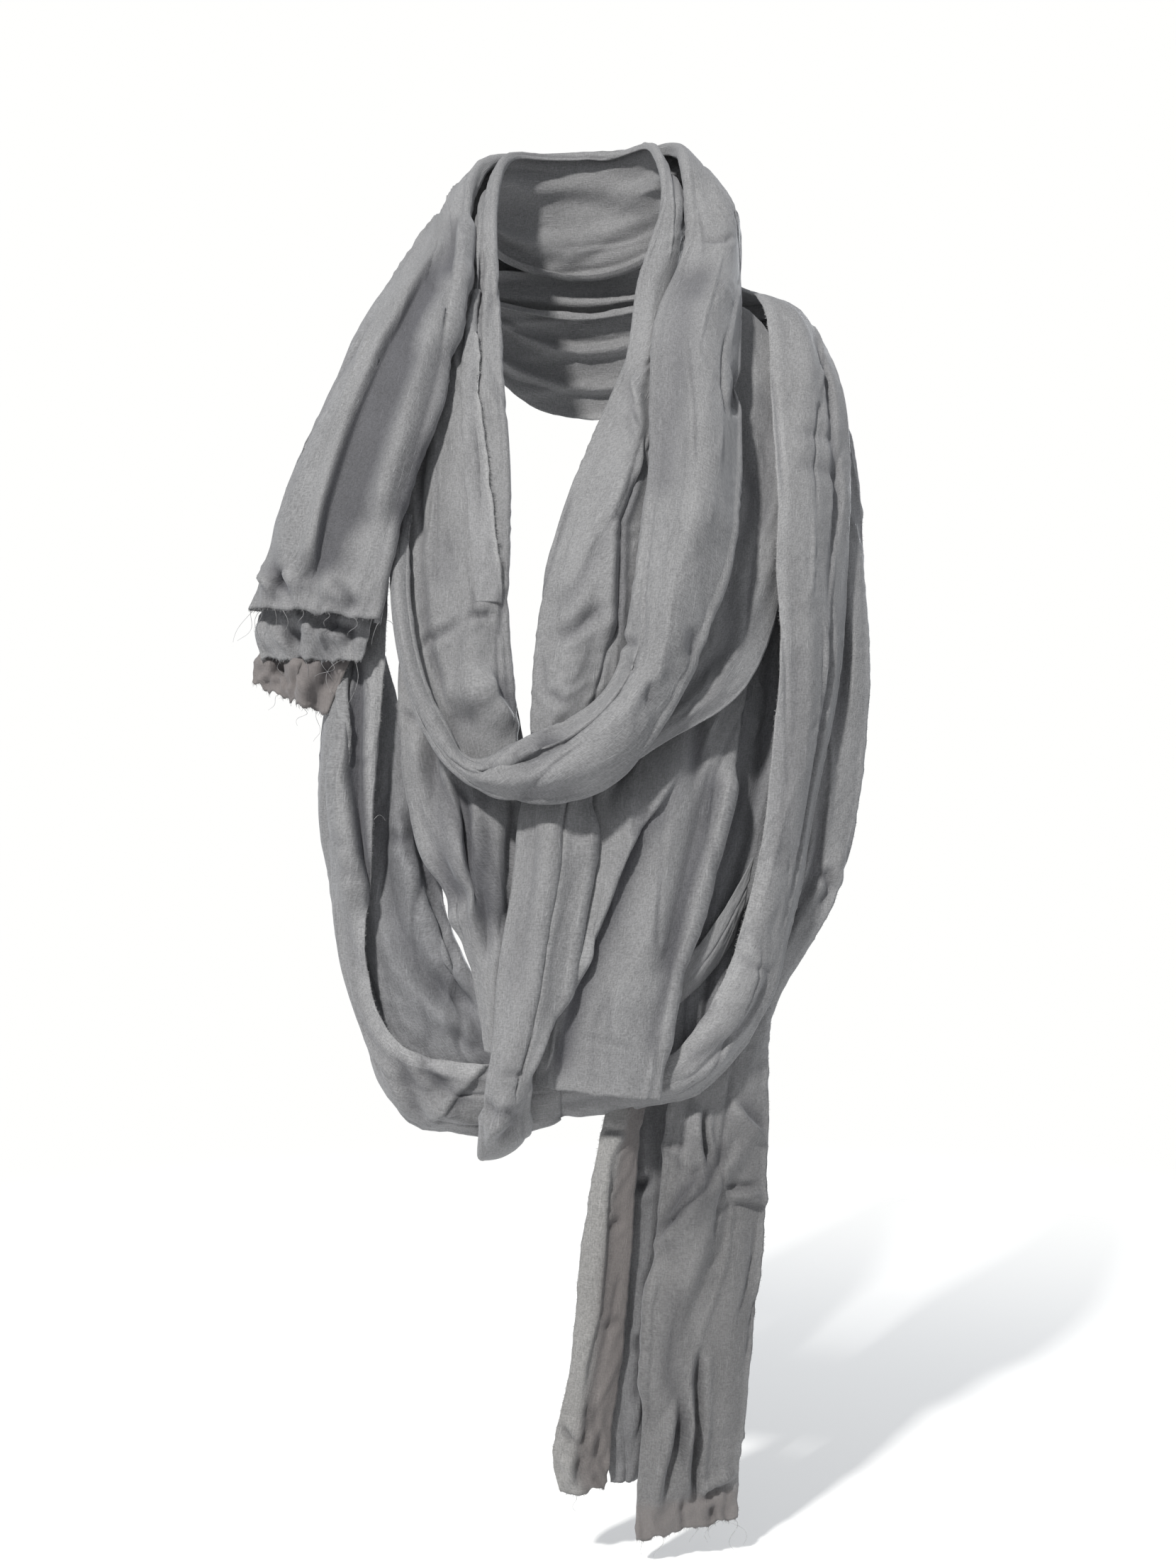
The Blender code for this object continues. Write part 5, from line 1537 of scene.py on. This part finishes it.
def woven_cloth(name, colour, pale, pale_share, rough, sheen):
    """Plain weave seen close: threads both ways, slubs along them, uneven dye and a pale selvedge.

    Height and colour are worked out from the piece's place on the cloth: fine streaks along the
    length, short slubs across it, and the sine of both directions for the threads.
    """
    material, tree, shader = new_material(name)
    place = place_on_cloth(tree)
    streaks, cross, slubs, blotches, grain = (
        stretched_noise(tree, place, *noise) for noise in WEAVE_NOISES.values()
    )
    axes = tree.nodes.new("ShaderNodeSeparateXYZ")
    link(tree, place, axes.inputs[0])
    turns = 2.0 * math.pi / THREAD_PITCH
    warp, weft = (
        math_node(tree, "SINE", math_node(tree, "MULTIPLY", axes.outputs[k], turns)) for k in (0, 1)
    )
    dashes = ramp(tree, slubs, *DASH_RANGE)
    threads = math_node(tree, "MULTIPLY", warp, weft)
    relief = ((threads, 0.16), (streaks, 1.0), (cross, 0.9), (dashes, 0.5), (grain, 0.8))
    height = summed(tree, [math_node(tree, "MULTIPLY", source, share) for source, share in relief])
    tones = [
        ramp(tree, streaks, 0.25, 0.75, -0.5, 0.5),
        ramp(tree, cross, 0.25, 0.75, -0.4, 0.4),
        math_node(tree, "MULTIPLY", dashes, DASH_TONE),
        ramp(tree, grain, 0.3, 0.7, -0.4, 0.4),
        ramp(tree, blotches, 0.3, 0.7, -0.22, 0.22),
    ]
    share = ramp(tree, summed(tree, tones), -TONE_SPAN, TONE_SPAN)
    base = varied(tree, share, colour, DARK_THREADS, LIGHT_THREADS)
    pale_threads = varied(tree, share, pale, DARK_THREADS, LIGHT_THREADS)
    pale_part = math_node(tree, "MULTIPLY", carried_mark(tree, "selvedge"), pale_share)
    base = mixed(tree, pale_part, base, pale_threads)
    sheer_part = math_node(tree, "MULTIPLY", carried_mark(tree, "sheer"), SHEER_SHARE)
    base = mixed(tree, sheer_part, base, SHEER_COLOUR)
    # A single layer is darker, partly as painted shade on the lower ends of the tail and its strips.
    base = mixed(tree, carried_mark(tree, "single_layer_and_shade"), base, SINGLE_AND_SHADE_TINT, "MULTIPLY")
    # Painted shade in creases, in fold valleys and beside fold edges.
    base = mixed(tree, carried_mark(tree, "painted_shade"), base, PAINTED_SHADE_TINT, "MULTIPLY")
    link(tree, base, shader.inputs["Base Color"])
    bump = tree.nodes.new("ShaderNodeBump")
    set_inputs(bump, {"Strength": WEAVE_STRENGTH, "Distance": WEAVE_DEPTH})
    link(tree, height, bump.inputs["Height"])
    link(tree, bump.outputs[0], shader.inputs["Normal"])
    low, high = rough - ROUGH_SWING, rough + ROUGH_SWING
    link(tree, ramp(tree, streaks, 0.2, 0.8, low, high), shader.inputs["Roughness"])
    set_inputs(shader, {"Specular IOR Level": 0.32, "Sheen Weight": sheen, "Sheen Roughness": 0.45})
    set_inputs(shader, {"Sheen Tint": (0.92, 0.94, 1.0, 1.0)})
    return material


def fine_thread(name, colour):
    """Single threads of the same yarn: a little lighter and darker from place to place, matt."""
    material, tree, shader = new_material(name)
    dye = stretched_noise(tree, place_on_cloth(tree), *FIBRE_NOISE)
    base = varied(tree, ramp(tree, dye, 0.3, 0.7), colour, DARK_FIBRES, LIGHT_FIBRES)
    link(tree, base, shader.inputs["Base Color"])
    set_inputs(shader, {"Roughness": 0.7, "Specular IOR Level": 0.3, "Sheen Weight": 0.2})
    return material


def plain_stage(name, colour):
    """Matt pale paint that ends softly in the background, by the distance from the middle."""
    material, tree, shader = new_material(name)
    set_inputs(shader, {"Base Color": (*colour, 1.0), "Roughness": 0.9, "Specular IOR Level": 0.1})
    place = tree.nodes.new("ShaderNodeTexCoord")
    length = tree.nodes.new("ShaderNodeVectorMath")
    length.operation = "LENGTH"
    link(tree, place.outputs["Object"], length.inputs[0])
    fade = ramp(tree, length.outputs["Value"], FLOOR_FULL, FLOOR_END, 1.0, 0.0)
    link(tree, fade, shader.inputs["Alpha"])
    return material


def build_floor():
    """A flat grid under the cloth, solid up to FLOOR_FULL from the middle and gone at FLOOR_END."""
    ticks = np.linspace(-FLOOR_END, FLOOR_END, FLOOR_POINTS)
    x, y = np.meshgrid(ticks, ticks)
    corner = np.arange(x.size).reshape(x.shape)
    corners = [corner[:-1, :-1], corner[:-1, 1:], corner[1:, 1:], corner[1:, :-1]]
    vertices = np.stack([x.ravel(), y.ravel(), np.zeros(x.size)], axis=-1)
    mesh = bpy.data.meshes.new("floor")
    mesh.from_pydata(vertices.tolist(), [], np.stack(corners, axis=-1).reshape(-1, 4).tolist())
    mesh.materials.append(plain_stage("pale_floor", (0.86, 0.86, 0.855)))
    floor = bpy.data.objects.new("floor", mesh)
    floor.location = (0.0, 0.0, CAD_BOX[0][2] - FLOOR_DROP)
    bpy.context.scene.collection.objects.link(floor)
    return floor


def soft_light(name, place, aim, power, size, colour):
    """A square soft box at a place, turned to face aim."""
    lamp = bpy.data.lights.new(name, "AREA")
    lamp.shape = "SQUARE"
    lamp.size = size
    lamp.energy = power
    lamp.color = colour
    item = bpy.data.objects.new(name, lamp)
    direction = Vector(aim) - Vector(place)
    item.rotation_euler = direction.to_track_quat("-Z", "Y").to_euler()
    item.location = place
    bpy.context.scene.collection.objects.link(item)


def build_world():
    """Even bluish light from all round, with a plain white background where it is looked at."""
    world = bpy.data.worlds.new("studio")
    world.use_nodes = True
    tree = world.node_tree
    background = tree.nodes["Background"]
    set_inputs(background, {"Color": (0.95, 0.97, 1.0, 1.0), "Strength": WORLD_STRENGTH})
    seen = tree.nodes.new("ShaderNodeBackground")
    set_inputs(seen, {"Color": (1.0, 1.0, 0.99, 1.0), "Strength": 1.0})
    choice = tree.nodes.new("ShaderNodeMixShader")
    rays = tree.nodes.new("ShaderNodeLightPath")
    link(tree, rays.outputs["Is Camera Ray"], choice.inputs[0])
    link(tree, background.outputs[0], choice.inputs[1])
    link(tree, seen.outputs[0], choice.inputs[2])
    link(tree, choice.outputs[0], tree.nodes["World Output"].inputs["Surface"])
    return world


def build_camera():
    """A camera that looks straight ahead, with the photograph's own perspective."""
    lens = bpy.data.cameras.new("photo_camera")
    lens.sensor_width = SENSOR
    lens.lens = SENSOR * FOCAL_PIXELS / PHOTO_HEIGHT
    lens.clip_start = 0.05
    lens.clip_end = 60.0
    camera = bpy.data.objects.new("photo_camera", lens)
    camera.location = CAMERA_PLACE
    camera.rotation_euler = (math.pi / 2.0, 0.0, 0.0)
    bpy.context.scene.collection.objects.link(camera)
    return camera


# Cloth finishes. Noises of the weave, columns: size of a patch across and along in metres, detail,
# roughness and offset.
WEAVE_NOISES = {
    "streaks": (0.0006, 0.0045, 3.0, 0.65, 0.0),
    "cross": (0.0036, 0.0006, 3.0, 0.65, 3.1),
    "slubs": (0.0009, 0.0140, 1.0, 0.5, 7.7),
    "blotches": (0.0180, 0.0450, 3.0, 0.5, 11.3),
    "grain": (0.0011, 0.0013, 2.0, 0.6, 5.9),
}
# Metres from thread to thread, depth of the weave and its strength.
THREAD_PITCH = 0.0009
WEAVE_DEPTH = 0.00035
WEAVE_STRENGTH = 0.8
# Slubs show as light dashes where their noise is in this range, and this is how much lighter.
DASH_RANGE = (0.60, 0.76)
DASH_TONE = 0.7
# A thread is darkest or lightest where its tones add up to this.
TONE_SPAN = 1.8
# How much rougher and smoother the streaks are than the cloth.
ROUGH_SWING = 0.07
# Brightness of the darkest and lightest threads and fibres against the colour.
DARK_THREADS = 0.58
LIGHT_THREADS = 1.47
DARK_FIBRES = 0.7
LIGHT_FIBRES = 1.25
# The same noise columns for the fibres.
FIBRE_NOISE = (0.004, 0.004, 2.0, 0.55, 0.0)
# The thin brownish end, and what a single layer with its painted shade and the painted shade of a hollow
# multiply the colour by.
SHEER_COLOUR = (0.238, 0.214, 0.206)
SHEER_SHARE = 0.6
SINGLE_AND_SHADE_TINT = (0.69, 0.685, 0.68)
PAINTED_SHADE_TINT = (0.33, 0.33, 0.36)
# Slots of the paths that aren't plain grey cloth.
SLOTS = {
    "tail_strip": "brownish_reverse",
    "third_layer": "brownish_reverse",
    "tail_middle": "shaded_cloth",
    "inner_layer": "shaded_cloth",
    "shaded_pleats": "shaded_cloth",
}
# Columns: material, colour, pale colour of the selvedge and its share, roughness, sheen.
CLOTHS = {
    "grey_cloth": ("grey_cloth_woven", (0.207, 0.2075, 0.212), (0.318, 0.318, 0.323), 0.45, 0.62, 0.22),
    "shaded_cloth": ("shaded_cloth_woven", (0.188, 0.190, 0.198), (0.31, 0.31, 0.32), 0.45, 0.66, 0.18),
    "brownish_reverse": ("brownish_woven", (0.132, 0.123, 0.121), (0.265, 0.264, 0.26), 0.8, 0.70, 0.18),
    "raw_selvedge": ("raw_selvedge_woven", (0.215, 0.2155, 0.221), (0.35, 0.35, 0.352), 0.45, 0.70, 0.20),
}
MATERIALS = {slot: woven_cloth(*finish) for slot, finish in CLOTHS.items()}
MATERIALS["fibre"] = fine_thread("loose_fibre", (0.30, 0.30, 0.305))

# Floor in metres: how far under the cloth, solid up to the second distance from the middle and gone
# at the third, and the points along a side.
FLOOR_DROP = 0.018
FLOOR_FULL = 0.35
FLOOR_END = 1.5
FLOOR_POINTS = 9
WORLD_STRENGTH = 0.53
# Camera: place in metres, sensor in millimetres, and the photograph's focal length and height in
# pixels.
CAMERA_PLACE = (0.007, -1.45, -0.42)
SENSOR = 36.0
FOCAL_PIXELS = 2888.9
PHOTO_HEIGHT = 2212.0

# Cloth.
pieces = {}
grids = {}
for name, (path, nodes, hidden_first, hidden_last, seed, waves, wrinkles) in SHELLS.items():
    points, side, along, row, painted_shade = shell_points(path, hidden_first, hidden_last, seed, waves, wrinkles)
    marks = (*edge_marks(path, side, along), painted_shade)
    pieces[name] = build_cloth(name, points, side, along, marks, SLOTS.get(path, "grey_cloth"), nodes)
    if path in FIBRE_EDGES:
        pieces[path + "_fibres"] = build_fibres(path, points, row, seed + FIBRE_SEED)
    grids[path] = (points, row)
pieces["selvedge_strip_shell"], pieces["selvedge_strip_fibres"] = build_selvedge_strip(*grids["collar"])

# Floor, light and camera.
floor = build_floor()
soft_light("key_light", (-1.85, -3.95, 3.35), (0.0, -0.05, -0.45), 362.0, 0.38, (1.0, 0.985, 0.955))
soft_light("back_fill", (1.3, 3.2, 0.1), (0.0, 0.0, -0.4), 120.0, 1.8, (0.96, 0.98, 1.0))
scene = bpy.context.scene
scene.world = build_world()
scene.view_settings.view_transform = "Standard"
scene.camera = build_camera()
